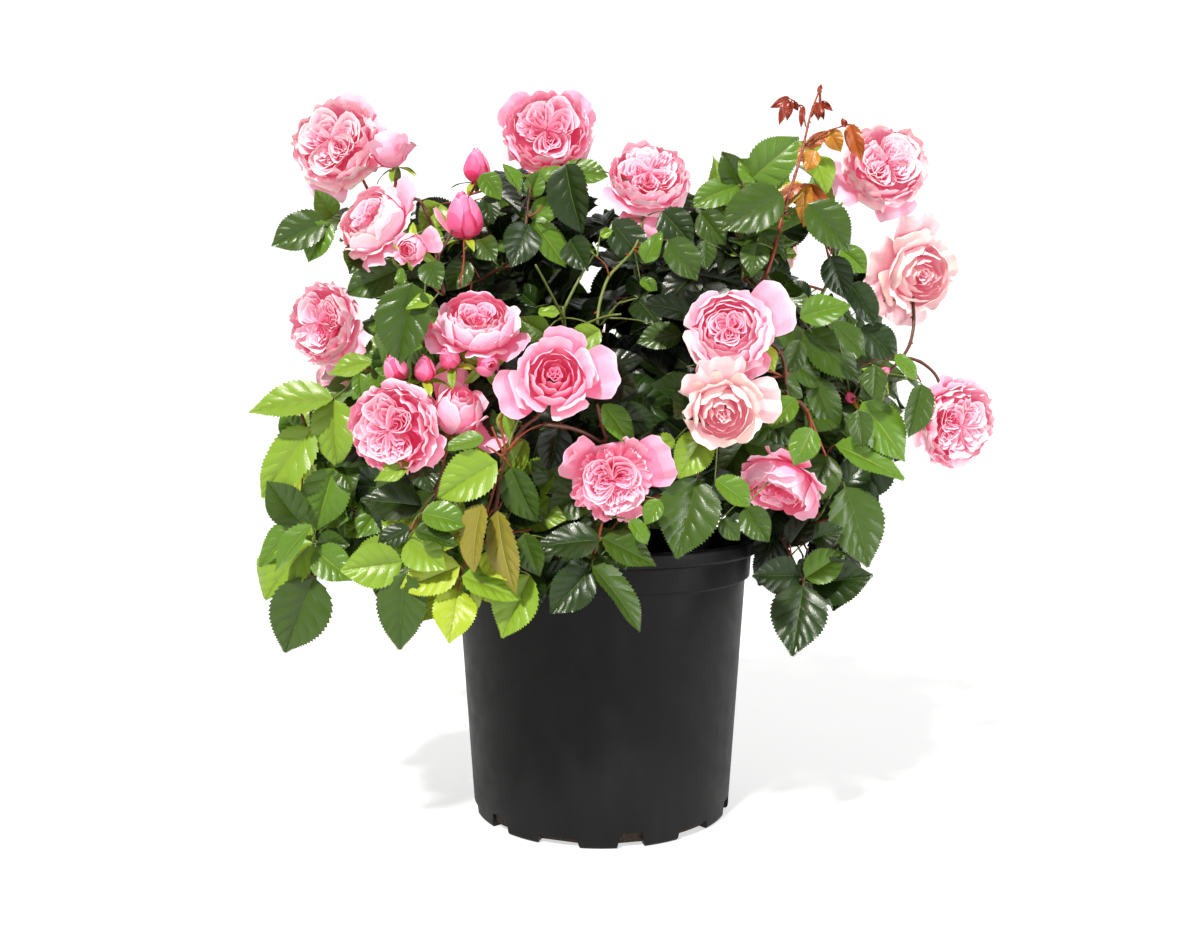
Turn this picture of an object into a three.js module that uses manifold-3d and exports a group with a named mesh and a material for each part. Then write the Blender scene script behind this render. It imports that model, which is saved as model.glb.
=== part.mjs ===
// A double-flowered shrub rose in a round black nursery pot.
// Units are millimetres, +Z is up, and the front of the plant faces -Y.
// The origin is the centre of the pot's flat underside.
import * as THREE from "three";
import { LoftGeometry } from "three/addons/geometries/LoftGeometry.js";
import { mergeVertices } from "three/addons/utils/BufferGeometryUtils.js";
import Module from "manifold-3d";

const wasm = await Module();
wasm.setup();

// Driving dimensions of the pot and what fills it
const POT = {
  height: 241,
  rimRadius: 140,
  footRadius: 115,
  topRadius: 128.5,
  collarRadius: 133,
  collarBottom: 205,
  lipBottom: 229,
  footChamfer: 2.5,
  lipWidth: 7,
  lipRound: 1.5,
  wall: 3,
  floor: 4,
  sides: 32,
};
const SIDE_HOLE = { foot: 24, top: 18, height: 13, firstAngle: 12 };
const LOW_HOLE = { foot: 38, top: 32, height: 8, firstAngle: -18 };
const HOLES_OF_A_KIND = 6;
const HOLE_DEPTH = 26;
const SOIL = { top: 214, edge: 210, heapRadius: 35 };
const CLEAR = 0.3;

// Driving dimensions of the wood: radii of limbs, and how far limbs and leaves keep apart
const STEM = {
  height: 56,
  flareRadius: 21,
  neckRadius: 13,
  knobRadius: 18,
  tipRadius: 6,
  sides: 10,
};
const CANE = { foot: 4.6, tip: 3.4, sides: 5, steps: 5, ring: 13, height: 0.62, tier: 6 };
const BOUGH = { foot: 3.2, tip: 2.3, sides: 4, steps: 3 };
const HEART_BOUGH_HEIGHT = 40;
const TWIG = { foot: 2.1, tip: 1.3, sides: 3, steps: 3 };
const STALK = { foot: 1.7, tip: 1.2, sides: 3, steps: 2 };
const LEAF_GAP = 0.6;
const LIMB_GAP = 0.8;
const POT_GAP = 2.5;
const STEM_GAP = 0.9;

// Driving dimensions of a leaf: an end leaflet and one or two pairs of smaller ones on a stalk.
// full is the whole leaf's length with one and with two pairs, at a scale of 1.
const LEAFLET = { length: 70, width: 54, thick: 1.8, fold: 4, sunk: 4 };
const SIDE_LEAFLET = { size: 0.82, lean: 0.42, first: 0.35, stagger: 0.05, spacing: 42 };
const LEAF = { fewest: 3, full: [0, 88, 134], twoPairsFrom: 92, smallest: 0.68, largest: 1.12 };

// How leaves are dealt out: their least spacing, how they turn to the light, and how many there are
const TIP_SPACING = 34;
const LEAF_TURN = { out: 0.55, side: 0.7, up: 0.35, any: 0.7 };
const LEAFLETS_PER_MASS = 12;
const ROUNDS = 7;
const TRIES = { asked: 20, random: 240 };
const CROWN_HEART = [0, 0, 330];

// Canes: the compass angle of the foot (0 is +X, 90 is the back) and the fork where they end
const CANES = {
  upper_left: { angle: 170, tip: [-112, -22, 402] },
  lower_left: { angle: 212, tip: [-120, -78, 318] },
  front: { angle: 258, tip: [-22, -92, 330] },
  lower_right: { angle: 305, tip: [104, -72, 318] },
  upper_right: { angle: 350, tip: [112, -8, 405] },
  back_right: { angle: 38, tip: [98, 92, 345] },
  back: { angle: 84, tip: [6, 104, 322] },
  back_left: { angle: 128, tip: [-98, 90, 348] },
};

// Masses of foliage: centre and radius of the space each one keeps to, the cane that bears its
// bough, how far up that cane the fork is (1 is its tip), and the tips of the leaves that reach
// furthest out of the crown there
const MASSES = {
  upper_left: {
    at: [-182, -66, 480],
    radius: 98,
    cane: "upper_left",
    fork: 1,
    reach: [[-272, -62, 488], [-236, -84, 462], [-150, -40, 560]],
  },
  top_left: {
    at: [-88, -36, 474],
    radius: 96,
    cane: "upper_left",
    fork: 0.8,
    reach: [[-84, -34, 562], [-20, 10, 560], [-150, -60, 440]],
  },
  left: {
    at: [-216, -48, 374],
    radius: 94,
    cane: "upper_left",
    fork: 0.6,
    reach: [[-296, -60, 352], [-262, -20, 446], [-276, -84, 318]],
  },
  front_left: {
    at: [-130, -142, 338],
    radius: 92,
    cane: "lower_left",
    fork: 1,
    reach: [[-183, -196, 266], [-68, -218, 322]],
  },
  lower_left: {
    at: [-206, -92, 256],
    radius: 98,
    cane: "lower_left",
    fork: 0.78,
    reach: [[-275, -90, 288], [-267, -110, 225], [-248, -118, 165], [-190, -150, 205]],
  },
  front_rim: {
    at: [-92, -176, 240],
    radius: 84,
    cane: "lower_left",
    fork: 0.56,
    reach: [[-141, -200, 184], [-61, -216, 196], [-105, -222, 212]],
  },
  front_centre: {
    at: [-30, -132, 404],
    radius: 92,
    cane: "front",
    fork: 1,
    reach: [[32, -196, 424], [-62, -198, 440]],
  },
  front_low: {
    at: [22, -164, 264],
    radius: 88,
    cane: "front",
    fork: 0.7,
    reach: [[25, -196, 194], [66, -216, 250], [-22, -206, 246]],
  },
  front_right: {
    at: [100, -132, 352],
    radius: 92,
    cane: "lower_right",
    fork: 1,
    reach: [[52, -206, 390], [150, -196, 364]],
  },
  right: {
    at: [206, -46, 352],
    radius: 98,
    cane: "lower_right",
    fork: 0.8,
    reach: [[252, -80, 297], [264, -40, 336], [214, -112, 384], [246, -60, 400]],
  },
  lower_right: {
    at: [182, -86, 244],
    radius: 94,
    cane: "lower_right",
    fork: 0.6,
    reach: [[158, -102, 160], [224, -62, 190], [243, -52, 243], [140, -130, 236]],
  },
  top_right: {
    at: [128, -48, 500],
    radius: 98,
    cane: "upper_right",
    fork: 1,
    reach: [[104, -42, 574], [168, -36, 581], [76, -70, 528], [150, -90, 506]],
  },
  upper_right: {
    at: [208, -2, 460],
    radius: 94,
    cane: "upper_right",
    fork: 0.8,
    reach: [[234, 0, 510], [256, 0, 436], [184, -50, 448]],
  },
  top_centre: {
    at: [28, -40, 480],
    radius: 98,
    cane: "upper_right",
    fork: 0.62,
    reach: [[4, -10, 572], [84, -20, 552], [-22, -76, 520], [64, -80, 446]],
  },
  back_upper_right: {
    at: [108, 108, 468],
    radius: 102,
    cane: "back_right",
    fork: 1,
    reach: [[170, 96, 540]],
  },
  back_right: {
    at: [196, 104, 330],
    radius: 100,
    cane: "back_right",
    fork: 0.72,
    reach: [[256, 90, 262]],
  },
  back_centre: {
    at: [6, 178, 392],
    radius: 98,
    cane: "back",
    fork: 1,
    reach: [[-10, 230, 462]],
  },
  back_low: {
    at: [-6, 186, 268],
    radius: 90,
    cane: "back",
    fork: 0.7,
    reach: [[-20, 236, 206], [56, 216, 210]],
  },
  back_upper_left: {
    at: [-116, 104, 462],
    radius: 102,
    cane: "back_left",
    fork: 1,
    reach: [[-176, 92, 534]],
  },
  back_left: {
    at: [-204, 100, 322],
    radius: 100,
    cane: "back_left",
    fork: 0.72,
    reach: [[-262, 90, 248], [-150, 180, 250]],
  },
  heart: { at: [6, 26, 424], radius: 88, cane: null, fork: 1, reach: [[10, 40, 500]] },
};

// Blooms: the mass that bears each one, the middle of the head, its width, and where it faces:
// yaw turns from the front (-Y) towards +X, and pitch is upwards, both in degrees
const BLOOMS = [
  { mass: "upper_left", at: [-222, -60, 576], width: 76, yaw: -12, pitch: 12 },
  { mass: "upper_left", at: [-170, -72, 566], width: 44, yaw: -60, pitch: 40 },
  { mass: "upper_left", at: [-176, -132, 498], width: 66, yaw: -35, pitch: 28 },
  { mass: "upper_left", at: [-136, -186, 467], width: 30, yaw: -8, pitch: -12 },
  { mass: "top_left", at: [-104, -62, 554], width: 25, yaw: 0, pitch: 82, bud: true },
  { mass: "top_left", at: [-108, -112, 503], width: 32, yaw: -20, pitch: 74, bud: true },
  { mass: "top_left", at: [-45, -62, 584], width: 76, yaw: 0, pitch: 12 },
  { mass: "top_centre", at: [38, -92, 541], width: 70, yaw: 5, pitch: 32 },
  { mass: "left", at: [-226, -92, 423], width: 70, yaw: -30, pitch: 5 },
  { mass: "front_left", at: [-88, -196, 414], width: 60, yaw: 12, pitch: 40 },
  { mass: "front_left", at: [-129, -192, 412], width: 18, yaw: -10, pitch: 65, bud: true },
  { mass: "front_centre", at: [-32, -226, 374], width: 60, yaw: 0, pitch: 6 },
  { mass: "front_left", at: [-144, -222, 338], width: 66, yaw: -15, pitch: -8 },
  { mass: "front_left", at: [-92, -204, 356], width: 50, yaw: 32, pitch: 14 },
  { mass: "front_right", at: [89, -200, 408], width: 62, yaw: -10, pitch: 10 },
  { mass: "front_right", at: [84, -212, 350], width: 60, yaw: 0, pitch: -24 },
  { mass: "front_low", at: [8, -204, 302], width: 64, yaw: 4, pitch: -8 },
  { mass: "front_right", at: [131, -166, 293], width: 60, yaw: -45, pitch: -48 },
  { mass: "upper_right", at: [246, -24, 566], width: 77, yaw: 4, pitch: 14 },
  { mass: "upper_right", at: [282, -6, 479], width: 70, yaw: 20, pitch: -18 },
  { mass: "right", at: [304, -42, 342], width: 72, yaw: 24, pitch: -12 },
  { mass: "back_upper_left", at: [-166, 142, 552], width: 74, yaw: -155, pitch: 30 },
  { mass: "back_upper_left", at: [-92, 196, 500], width: 68, yaw: 185, pitch: 22 },
  { mass: "back_left", at: [-268, 134, 396], width: 72, yaw: -120, pitch: 12 },
  { mass: "back_left", at: [-196, 196, 322], width: 64, yaw: -155, pitch: -5 },
  { mass: "back_centre", at: [-24, 268, 430], width: 70, yaw: 180, pitch: 14 },
  { mass: "back_centre", at: [52, 262, 362], width: 62, yaw: 165, pitch: -6 },
  { mass: "back_upper_right", at: [66, 176, 560], width: 76, yaw: 168, pitch: 30 },
  { mass: "back_upper_right", at: [176, 154, 524], width: 66, yaw: 135, pitch: 24 },
  { mass: "back_right", at: [272, 132, 392], width: 70, yaw: 110, pitch: 6 },
  { mass: "back_right", at: [196, 196, 300], width: 66, yaw: 150, pitch: -10 },
  { mass: "back_low", at: [-78, 244, 300], width: 58, yaw: -170, pitch: -6 },
  { mass: "back_upper_right", at: [124, 196, 486], width: 28, yaw: 160, pitch: 70, bud: true },
  { mass: "back_left", at: [-262, 60, 306], width: 30, yaw: -80, pitch: 60, bud: true },
];

// The shapes of an open bloom and a bud: half their outline, for a radius of 1, facing up
const CUP = {
  profile: [[0, -0.56], [0.84, -0.26], [0.98, 0.18], [0, 0.36]],
  sides: 8,
  ruffle: 0.04,
};
const BUD = {
  profile: [[0, -1.1], [0.95, -0.35], [0.75, 0.7], [0, 1.45]],
  sides: 5,
  ruffle: 0,
};
const HEAD_NECK = 0.25;
const HEAD_HANG = 30;

// The tall young shoot that stands out of the crown at the top right
const SHOOT = {
  mass: "top_right",
  tip: [188, -42, 634],
  bow: [14, -22, -8],
  tipRadius: 0.9,
  leaves: 4,
  leafSpacing: 0.12,
  leafScale: 0.42,
  leafGrowth: 0.06,
  leafLength: 100,
};

// A seeded source of random numbers from 0 to 1
function randomSource(seed) {
  let state = seed >>> 0;
  return () => {
    state = (state + 0x6d2b79f5) >>> 0;
    let t = Math.imul(state ^ (state >>> 15), state | 1);
    t ^= t + Math.imul(t ^ (t >>> 7), t | 61);
    return ((t ^ (t >>> 14)) >>> 0) / 4294967296;
  };
}

const vec = (xyz) => new THREE.Vector3(...xyz);
const radians = THREE.MathUtils.degToRad;
const UP = new THREE.Vector3(0, 0, 1);

// The line of every limb and twig: from a to c, drawn towards b
const bend = (a, b, c) => new THREE.QuadraticBezierCurve3(a, b, c);

// Turns a closed BufferGeometry into a solid, whichever way round its faces were listed
function solidOf(geometry) {
  const bare = geometry.index ? geometry.toNonIndexed() : geometry.clone();
  const merged = mergeVertices(
    new THREE.BufferGeometry().setAttribute("position", bare.getAttribute("position")),
    1e-4,
  );
  const triVerts = new Uint32Array(merged.index.array);
  const make = () =>
    new wasm.Manifold(
      new wasm.Mesh({ numProp: 3, vertProperties: merged.attributes.position.array, triVerts }),
    );
  const solid = make();
  if (solid.volume() > 0) return solid;
  triVerts.reverse();
  return make();
}

// The largest closed body of a solid, so that a loose scrap is dropped and a sealed hollow filled
function largestBody(solid) {
  return solid.decompose().reduce((best, next) => (next.volume() > best.volume() ? next : best));
}

function geometryOf(solid) {
  const mesh = solid.getMesh();
  const geometry = new THREE.BufferGeometry();
  geometry.setAttribute("position", new THREE.BufferAttribute(mesh.vertProperties, 3));
  geometry.setIndex(new THREE.BufferAttribute(mesh.triVerts, 1));
  return geometry;
}

// A solid of revolution about Z from [radius, height] pairs that start and end on the axis
function turned(profile, sides) {
  const points = profile.map(([r, z]) => new THREE.Vector2(r, z));
  return new THREE.LatheGeometry(points, sides).rotateX(Math.PI / 2);
}

// A tapering limb of a few sides along a curve, thicker than its size by a gap
function limb(curve, { foot, tip, sides, steps }, gap = 0) {
  const frames = curve.computeFrenetFrames(steps, false);
  const sections = [];
  for (let i = 0; i <= steps; i++) {
    const share = i / steps;
    const centre = curve.getPointAt(share);
    const radius = THREE.MathUtils.lerp(foot, tip, share) + gap;
    const ring = [];
    for (let k = 0; k < sides; k++) {
      const turn = (2 * Math.PI * k) / sides;
      ring.push(
        centre
          .clone()
          .addScaledVector(frames.normals[i], radius * Math.cos(turn))
          .addScaledVector(frames.binormals[i], radius * Math.sin(turn)),
      );
    }
    sections.push(ring);
  }
  return solidOf(new LoftGeometry(sections, { capStart: true, capEnd: true }));
}

// The space that a neighbour of a limb keeps out of: wider, and longer at its tip
function limbSpace(curve, size, gap) {
  const tip = curve.v2.clone().addScaledVector(curve.getTangentAt(1), gap);
  return limb(bend(curve.v0, curve.v1, tip), size, gap);
}

// One hole through the pot's bottom corner: a trapezium cut along a radius
function holeCutter({ foot, top, height }, angle) {
  const shape = new THREE.Shape();
  const below = 2;
  shape.moveTo(-foot / 2, -below);
  shape.lineTo(foot / 2, -below);
  shape.lineTo(top / 2, height);
  shape.lineTo(-top / 2, height);
  const cutter = new THREE.ExtrudeGeometry(shape, { depth: HOLE_DEPTH, bevelEnabled: false });
  cutter.rotateX(Math.PI / 2);
  cutter.translate(0, -(POT.footRadius - HOLE_DEPTH / 2), 0);
  cutter.rotateZ(radians(angle));
  return solidOf(cutter);
}

function potSolid() {
  const { height, rimRadius, footRadius, topRadius, collarRadius, collarBottom } = POT;
  const { lipBottom, footChamfer, lipWidth, lipRound, wall, floor, sides } = POT;
  const profile = [
    [0, 0],
    [footRadius - footChamfer, 0],
    [footRadius, 2 * footChamfer],
    [topRadius, collarBottom],
    [collarRadius, collarBottom + lipRound],
    [collarRadius + lipRound, lipBottom],
    [rimRadius, lipBottom + lipRound],
    [rimRadius, height - lipRound],
    [rimRadius - lipRound, height],
    [rimRadius - lipWidth, height],
    [collarRadius - wall, collarBottom + wall],
    [topRadius - wall, collarBottom],
    [footRadius - wall, floor],
    [0, floor],
  ];
  let solid = solidOf(turned(profile, sides));
  for (let k = 0; k < HOLES_OF_A_KIND; k++) {
    const turn = (360 / HOLES_OF_A_KIND) * k;
    solid = solid.subtract(holeCutter(SIDE_HOLE, SIDE_HOLE.firstAngle + turn));
    solid = solid.subtract(holeCutter(LOW_HOLE, LOW_HOLE.firstAngle + turn));
  }
  return largestBody(solid);
}

// The potting mix: it fills the pot to just above the collar's foot and is heaped at the middle
function soilSolid() {
  const { footRadius, topRadius, collarBottom, wall, floor, sides } = POT;
  const gap = wall + 1.3 * CLEAR;
  const profile = [
    [0, floor + CLEAR],
    [footRadius - gap, floor + CLEAR],
    [topRadius - gap, collarBottom],
    [topRadius - gap, SOIL.edge],
    [SOIL.heapRadius, SOIL.top],
    [0, SOIL.top],
  ];
  return solidOf(turned(profile, sides));
}

// The short knobbly stem that all the canes spring from, cut flat at the soil. With a gap it is
// the space that the limbs which spring from it keep out of.
function stemSolid(gap) {
  const foot = SOIL.top + CLEAR - gap;
  const { height, flareRadius, neckRadius, knobRadius, sides } = STEM;
  const profile = [
    [flareRadius, 0],
    [neckRadius + 2.5, 0.12],
    [neckRadius, 0.4],
    [knobRadius - 1, 0.6],
    [knobRadius, 0.78],
    [neckRadius, 0.94],
  ].map(([r, share]) => [r + gap, foot + share * height]);
  const top = SOIL.top + CLEAR + height + gap;
  return solidOf(turned([[0, foot], ...profile, [STEM.tipRadius + gap, top], [0, top]], sides));
}

// The line of a cane: out of the stem's knob, then over to its fork
function caneCurve({ angle, tip }, order) {
  const out = new THREE.Vector3(Math.cos(radians(angle)), Math.sin(radians(angle)), 0);
  const foot = out.clone().multiplyScalar(CANE.ring);
  foot.z = SOIL.top + CANE.height * STEM.height + CANE.tier * (order % 2);
  const end = vec(tip);
  const middle = foot.clone().addScaledVector(out, 0.34 * foot.distanceTo(end));
  middle.z += 0.62 * (end.z - foot.z);
  return bend(foot, middle, end);
}

// The line of a bough: it leaves its cane along the cane, and turns into its mass
function boughCurve(mass, cane) {
  const centre = vec(mass.at);
  const foot = cane ? cane.getPointAt(mass.fork) : vec([0, 0, SOIL.top + HEART_BOUGH_HEIGHT]);
  const along = cane ? cane.getTangentAt(mass.fork) : UP;
  const span = foot.distanceTo(centre);
  const end = centre.clone().lerp(foot, Math.min(0.6, (0.5 * mass.radius) / span));
  const middle = foot.clone().addScaledVector(along, 0.28 * span);
  middle.lerp(foot.clone().lerp(end, 0.5), 0.45);
  return bend(foot, middle, end);
}

// Where a bloom or bud faces
function facingOf({ yaw, pitch }) {
  const y = radians(yaw);
  const p = radians(pitch);
  return new THREE.Vector3(Math.sin(y) * Math.cos(p), -Math.cos(y) * Math.cos(p), Math.sin(p));
}

// A head turned to face a way: a ruffled cup of petals, or a pointed bud
function headSolid(bloom) {
  const { profile, sides, ruffle } = bloom.bud ? BUD : CUP;
  const radius = bloom.width / 2;
  const head = turned(profile.map(([r, z]) => [r * radius, z * radius]), sides);
  const at = head.getAttribute("position");
  for (let i = 0; i < at.count; i++) {
    const round = Math.atan2(at.getY(i), at.getX(i));
    const share = 1 + ruffle * Math.cos((sides / 2) * round);
    at.setXY(i, at.getX(i) * share, at.getY(i) * share);
  }
  head.applyQuaternion(new THREE.Quaternion().setFromUnitVectors(UP, facingOf(bloom)));
  head.translate(...bloom.at);
  return solidOf(head);
}

// One leaflet: a thin folded blade with a six-cornered outline, from its base to its tip
function leafletSolid(base, along, facing, scale) {
  const across = along.clone().cross(facing).normalize();
  const face = across.clone().cross(along).normalize();
  const { length, width, thick, fold } = LEAFLET;
  const at = (l, w, f) =>
    base
      .clone()
      .addScaledVector(along, l * length * scale)
      .addScaledVector(across, w * width * scale)
      .addScaledVector(face, f * scale);
  const corners = [
    at(0, 0, 0),
    at(0.3, -0.46, fold),
    at(0.64, -0.4, 0.6 * fold),
    at(1, 0, -fold),
    at(0.64, 0.4, 0.6 * fold),
    at(0.3, 0.46, fold),
    at(0.45, 0, thick / 2),
    at(0.45, 0, -thick / 2),
  ];
  const faces = [];
  for (let k = 0; k < 6; k++) {
    const next = (k + 1) % 6;
    faces.push(6, k, next, 7, next, k);
  }
  const blade = new THREE.BufferGeometry().setFromPoints(corners);
  return solidOf(blade.setIndex(faces));
}

// One leaf from the wood to its tip: a stalk that ends in a leaflet, with pairs of leaflets along
// it. The stalk and each leaflet are kept if they pass, and a leaf with too few is left out.
function leafSolids(from, tip, facing, scale, pairs, passes) {
  const along = tip.clone().sub(from).normalize();
  const neck = tip.clone().addScaledVector(along, -LEAFLET.length * scale);
  const arch = from.clone().lerp(neck, 0.5).addScaledVector(UP, 0.1 * from.distanceTo(neck));
  const line = bend(from, arch, neck);
  const stalk = limb(line, STALK);
  if (!passes(stalk)) return [];
  const across = along.clone().cross(facing).normalize();
  const blades = [[neck.clone().addScaledVector(line.getTangentAt(1), -LEAFLET.sunk), along, 1]];
  const { size, lean, first, stagger, spacing } = SIDE_LEAFLET;
  for (let pair = 0; pair < pairs; pair++) {
    for (const side of [-1, 1]) {
      const share = 1 - ((pair + first + stagger * side) * spacing * scale) / line.getLength();
      if (share < 0.1) continue;
      const way = across.clone().multiplyScalar(side).addScaledVector(along, lean).normalize();
      const root = line.getPointAt(share).addScaledVector(way, -0.6 * STALK.tip);
      blades.push([root, way, size]);
    }
  }
  const kept = blades
    .map(([root, way, share]) => leafletSolid(root, way, facing, share * scale))
    .filter(passes);
  return kept.length < LEAF.fewest ? [] : [stalk, ...kept];
}

// The point on some lines, past their first eighth, that lies nearest to a target
function nearestOn(lines, target) {
  let best = null;
  for (const line of lines) {
    for (let i = 1; i <= 8; i++) {
      const point = line.getPointAt(i / 8);
      const distance = point.distanceTo(target);
      if (!best || distance < best.distance) best = { point, distance };
    }
  }
  return best;
}

// What stands already, so that each new twig or leaf keeps clear of it
const placed = [];

function boxesMeet(a, b, gap) {
  for (let i = 0; i < 3; i++) {
    if (a.min[i] > b.max[i] + gap || b.min[i] > a.max[i] + gap) return false;
  }
  return true;
}

function place(owner, kind, solid) {
  placed.push({ owner, kind, solid, box: solid.boundingBox() });
}

// A new piece keeps clear of everything of other masses, and of the leaves of its own
function standsClear(owner, solid) {
  const box = solid.boundingBox();
  return placed.every(
    (other) =>
      (other.owner === owner && other.kind === "wood") ||
      !boxesMeet(box, other.box, LEAF_GAP) ||
      solid.minGap(other.solid, 2 * LEAF_GAP) > LEAF_GAP,
  );
}

// The space of a mass: inside its sphere, where no other mass is nearer for its size
function ownsPoint(name, point) {
  const own = point.distanceTo(vec(MASSES[name].at)) / MASSES[name].radius;
  return Object.entries(MASSES).every(
    ([other, mass]) => other === name || point.distanceTo(vec(mass.at)) / mass.radius >= own,
  );
}

// The wood of a mass: its stem, a stalk to each bloom that it bears, and the young shoot
function growWood(name, order, bough) {
  const mass = MASSES[name];
  const way = bough.getTangentAt(1);
  const start = bough.getPointAt(1).addScaledVector(way, CLEAR);
  const middle = start.clone().addScaledVector(way, 0.35 * mass.radius);
  const stem = bend(start, middle, vec(mass.at).addScaledVector(UP, 0.3 * mass.radius));
  const lines = [stem];
  const wood = [limb(stem, TWIG)];
  const heads = [];
  for (const bloom of BLOOMS.filter((b) => b.mass === name)) {
    const facing = facingOf(bloom);
    const neck = vec(bloom.at).addScaledVector(facing, -HEAD_NECK * bloom.width);
    const from = nearestOn([stem], neck.clone().addScaledVector(UP, -HEAD_HANG)).point;
    const behind = neck.clone().addScaledVector(facing, -0.4 * from.distanceTo(neck));
    lines.push(bend(from, behind, neck));
    wood.push(limb(lines[lines.length - 1], STALK));
    heads.push(headSolid(bloom));
  }
  if (SHOOT.mass === name) {
    const from = stem.getPointAt(0.3);
    const tip = vec(SHOOT.tip);
    lines.push(bend(from, from.clone().lerp(tip, 0.5).add(vec(SHOOT.bow)), tip));
    wood.push(limb(lines[lines.length - 1], { ...TWIG, tip: SHOOT.tipRadius, steps: 4 }));
  }
  wood.forEach((solid) => place(name, "wood", solid));
  heads.forEach((solid) => place(name, "leaf", solid));
  const random = randomSource(order);
  return { name, mass, random, lines, solids: [...wood, ...heads], tips: [], leaflets: 0 };
}

// The young shoot's small drooping leaves
function growShoot(grown) {
  const line = grown.lines[grown.lines.length - 1];
  for (let k = 0; k < SHOOT.leaves; k++) {
    const turn = 1 + 2.4 * k;
    const from = line.getPointAt(0.985 - SHOOT.leafSpacing * k);
    const out = vec([Math.cos(turn), 0.6 * Math.sin(turn), 0.1 - 0.12 * k]).normalize();
    const scale = SHOOT.leafScale + SHOOT.leafGrowth * k;
    const tip = from.clone().addScaledVector(out, SHOOT.leafLength * scale);
    addLeaf(grown, from, tip, out.clone().add(UP).normalize(), scale, 1, () => true);
  }
}

// Grows one leaf if there is room for it, and says whether it did
function addLeaf(grown, from, tip, facing, scale, pairs, free) {
  const passes = (solid) => free(solid) && standsClear(grown.name, solid);
  const [stalk, ...blades] = leafSolids(from, tip, facing, scale, pairs, passes);
  if (!stalk) return false;
  place(grown.name, "wood", stalk);
  blades.forEach((blade) => place(grown.name, "leaf", blade));
  grown.solids.push(stalk, ...blades);
  grown.tips.push(tip);
  grown.leaflets += blades.length;
  return true;
}

// A random place in a mass's own space for the tip of a leaf, more often near its surface
function tipSpot({ name, mass, random }) {
  const way = new THREE.Vector3(random() * 2 - 1, random() * 2 - 1, random() * 2 - 1);
  if (way.length() > 1) return null;
  const spot = vec(mass.at).addScaledVector(way.normalize(), mass.radius * Math.sqrt(random()));
  return ownsPoint(name, spot) ? spot : null;
}

// The way a leaf faces: out of the crown, to the front or back of it, and up
function lightOf(mass, tip, random) {
  const { out, side, up, any } = LEAF_TURN;
  const facing = tip.clone().sub(vec(CROWN_HEART)).normalize().multiplyScalar(out);
  facing.add(vec([0, Math.sign(mass.at[1]) * side, up]));
  facing.add(vec([random(), random(), random()]).subScalar(0.5).multiplyScalar(any));
  return facing.normalize();
}

// One leaf on the nearest wood, to a tip asked for or else to a random spot
function growLeaf(grown, obstacle, asked) {
  const { name, mass, random, lines, tips } = grown;
  const free = (solid) => {
    const { min, max } = solid.boundingBox();
    const middle = vec(min).lerp(vec(max), 0.5);
    return (asked || ownsPoint(name, middle)) && solid.intersect(obstacle).isEmpty();
  };
  for (let attempt = 0; attempt < (asked ? TRIES.asked : TRIES.random); attempt++) {
    const tip = asked ? vec(asked) : tipSpot(grown);
    if (!tip || tips.some((other) => other.distanceTo(tip) < TIP_SPACING)) continue;
    const { point, distance } = nearestOn(lines, tip);
    const pairs = distance > LEAF.twoPairsFrom ? 2 : 1;
    const fit = Math.min(LEAF.largest, distance / LEAF.full[pairs]);
    const scale = fit * (0.92 + 0.14 * random());
    if (scale < LEAF.smallest) continue;
    const facing = lightOf(mass, tip, random);
    if (addLeaf(grown, point, tip, facing, scale, pairs, free)) return;
  }
}

const group = new THREE.Group();

function addNode(name, solid, material) {
  const mesh = new THREE.Mesh(geometryOf(solid), material);
  mesh.name = name;
  group.add(mesh);
}

const plastic = new THREE.MeshStandardMaterial({ color: 0x1b1b1d, roughness: 0.42 });
const earth = new THREE.MeshStandardMaterial({ color: 0x3a2a1e, roughness: 0.95 });
const oldWood = new THREE.MeshStandardMaterial({ color: 0x5a4a34, roughness: 0.85 });
const youngWood = new THREE.MeshStandardMaterial({ color: 0x5b6b34, roughness: 0.6 });
const foliage = new THREE.MeshStandardMaterial({ color: 0x35682a, roughness: 0.45 });

// The pot, what fills it, and the stem
const stemSpace = stemSolid(STEM_GAP);
addNode("pot", potSolid(), plastic);
addNode("soil", soilSolid(), earth);
addNode("stem", stemSolid(0), oldWood);

// Canes are seated on the stem, and boughs on their canes, each 0.3 mm clear
const caneCurves = {};
const limbSpaces = [];
Object.entries(CANES).forEach(([name, cane], order) => {
  const curve = caneCurve(cane, order);
  addNode("cane_" + name, largestBody(limb(curve, CANE).subtract(stemSpace)), oldWood);
  caneCurves[name] = curve;
  limbSpaces.push(limbSpace(curve, CANE, LIMB_GAP));
});

const grownMasses = Object.entries(MASSES).map(([name, mass], order) => {
  const cane = caneCurves[mass.cane];
  const curve = boughCurve(mass, cane);
  const seat = cane ? limbSpace(cane, CANE, 1.2 * CLEAR) : stemSpace;
  const bough = largestBody(limb(curve, BOUGH).subtract(seat));
  addNode("bough_" + name, bough, youngWood);
  place("bough_" + name, "wood", bough);
  limbSpaces.push(limbSpace(curve, BOUGH, LIMB_GAP));
  return growWood(name, order, curve);
});

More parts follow.
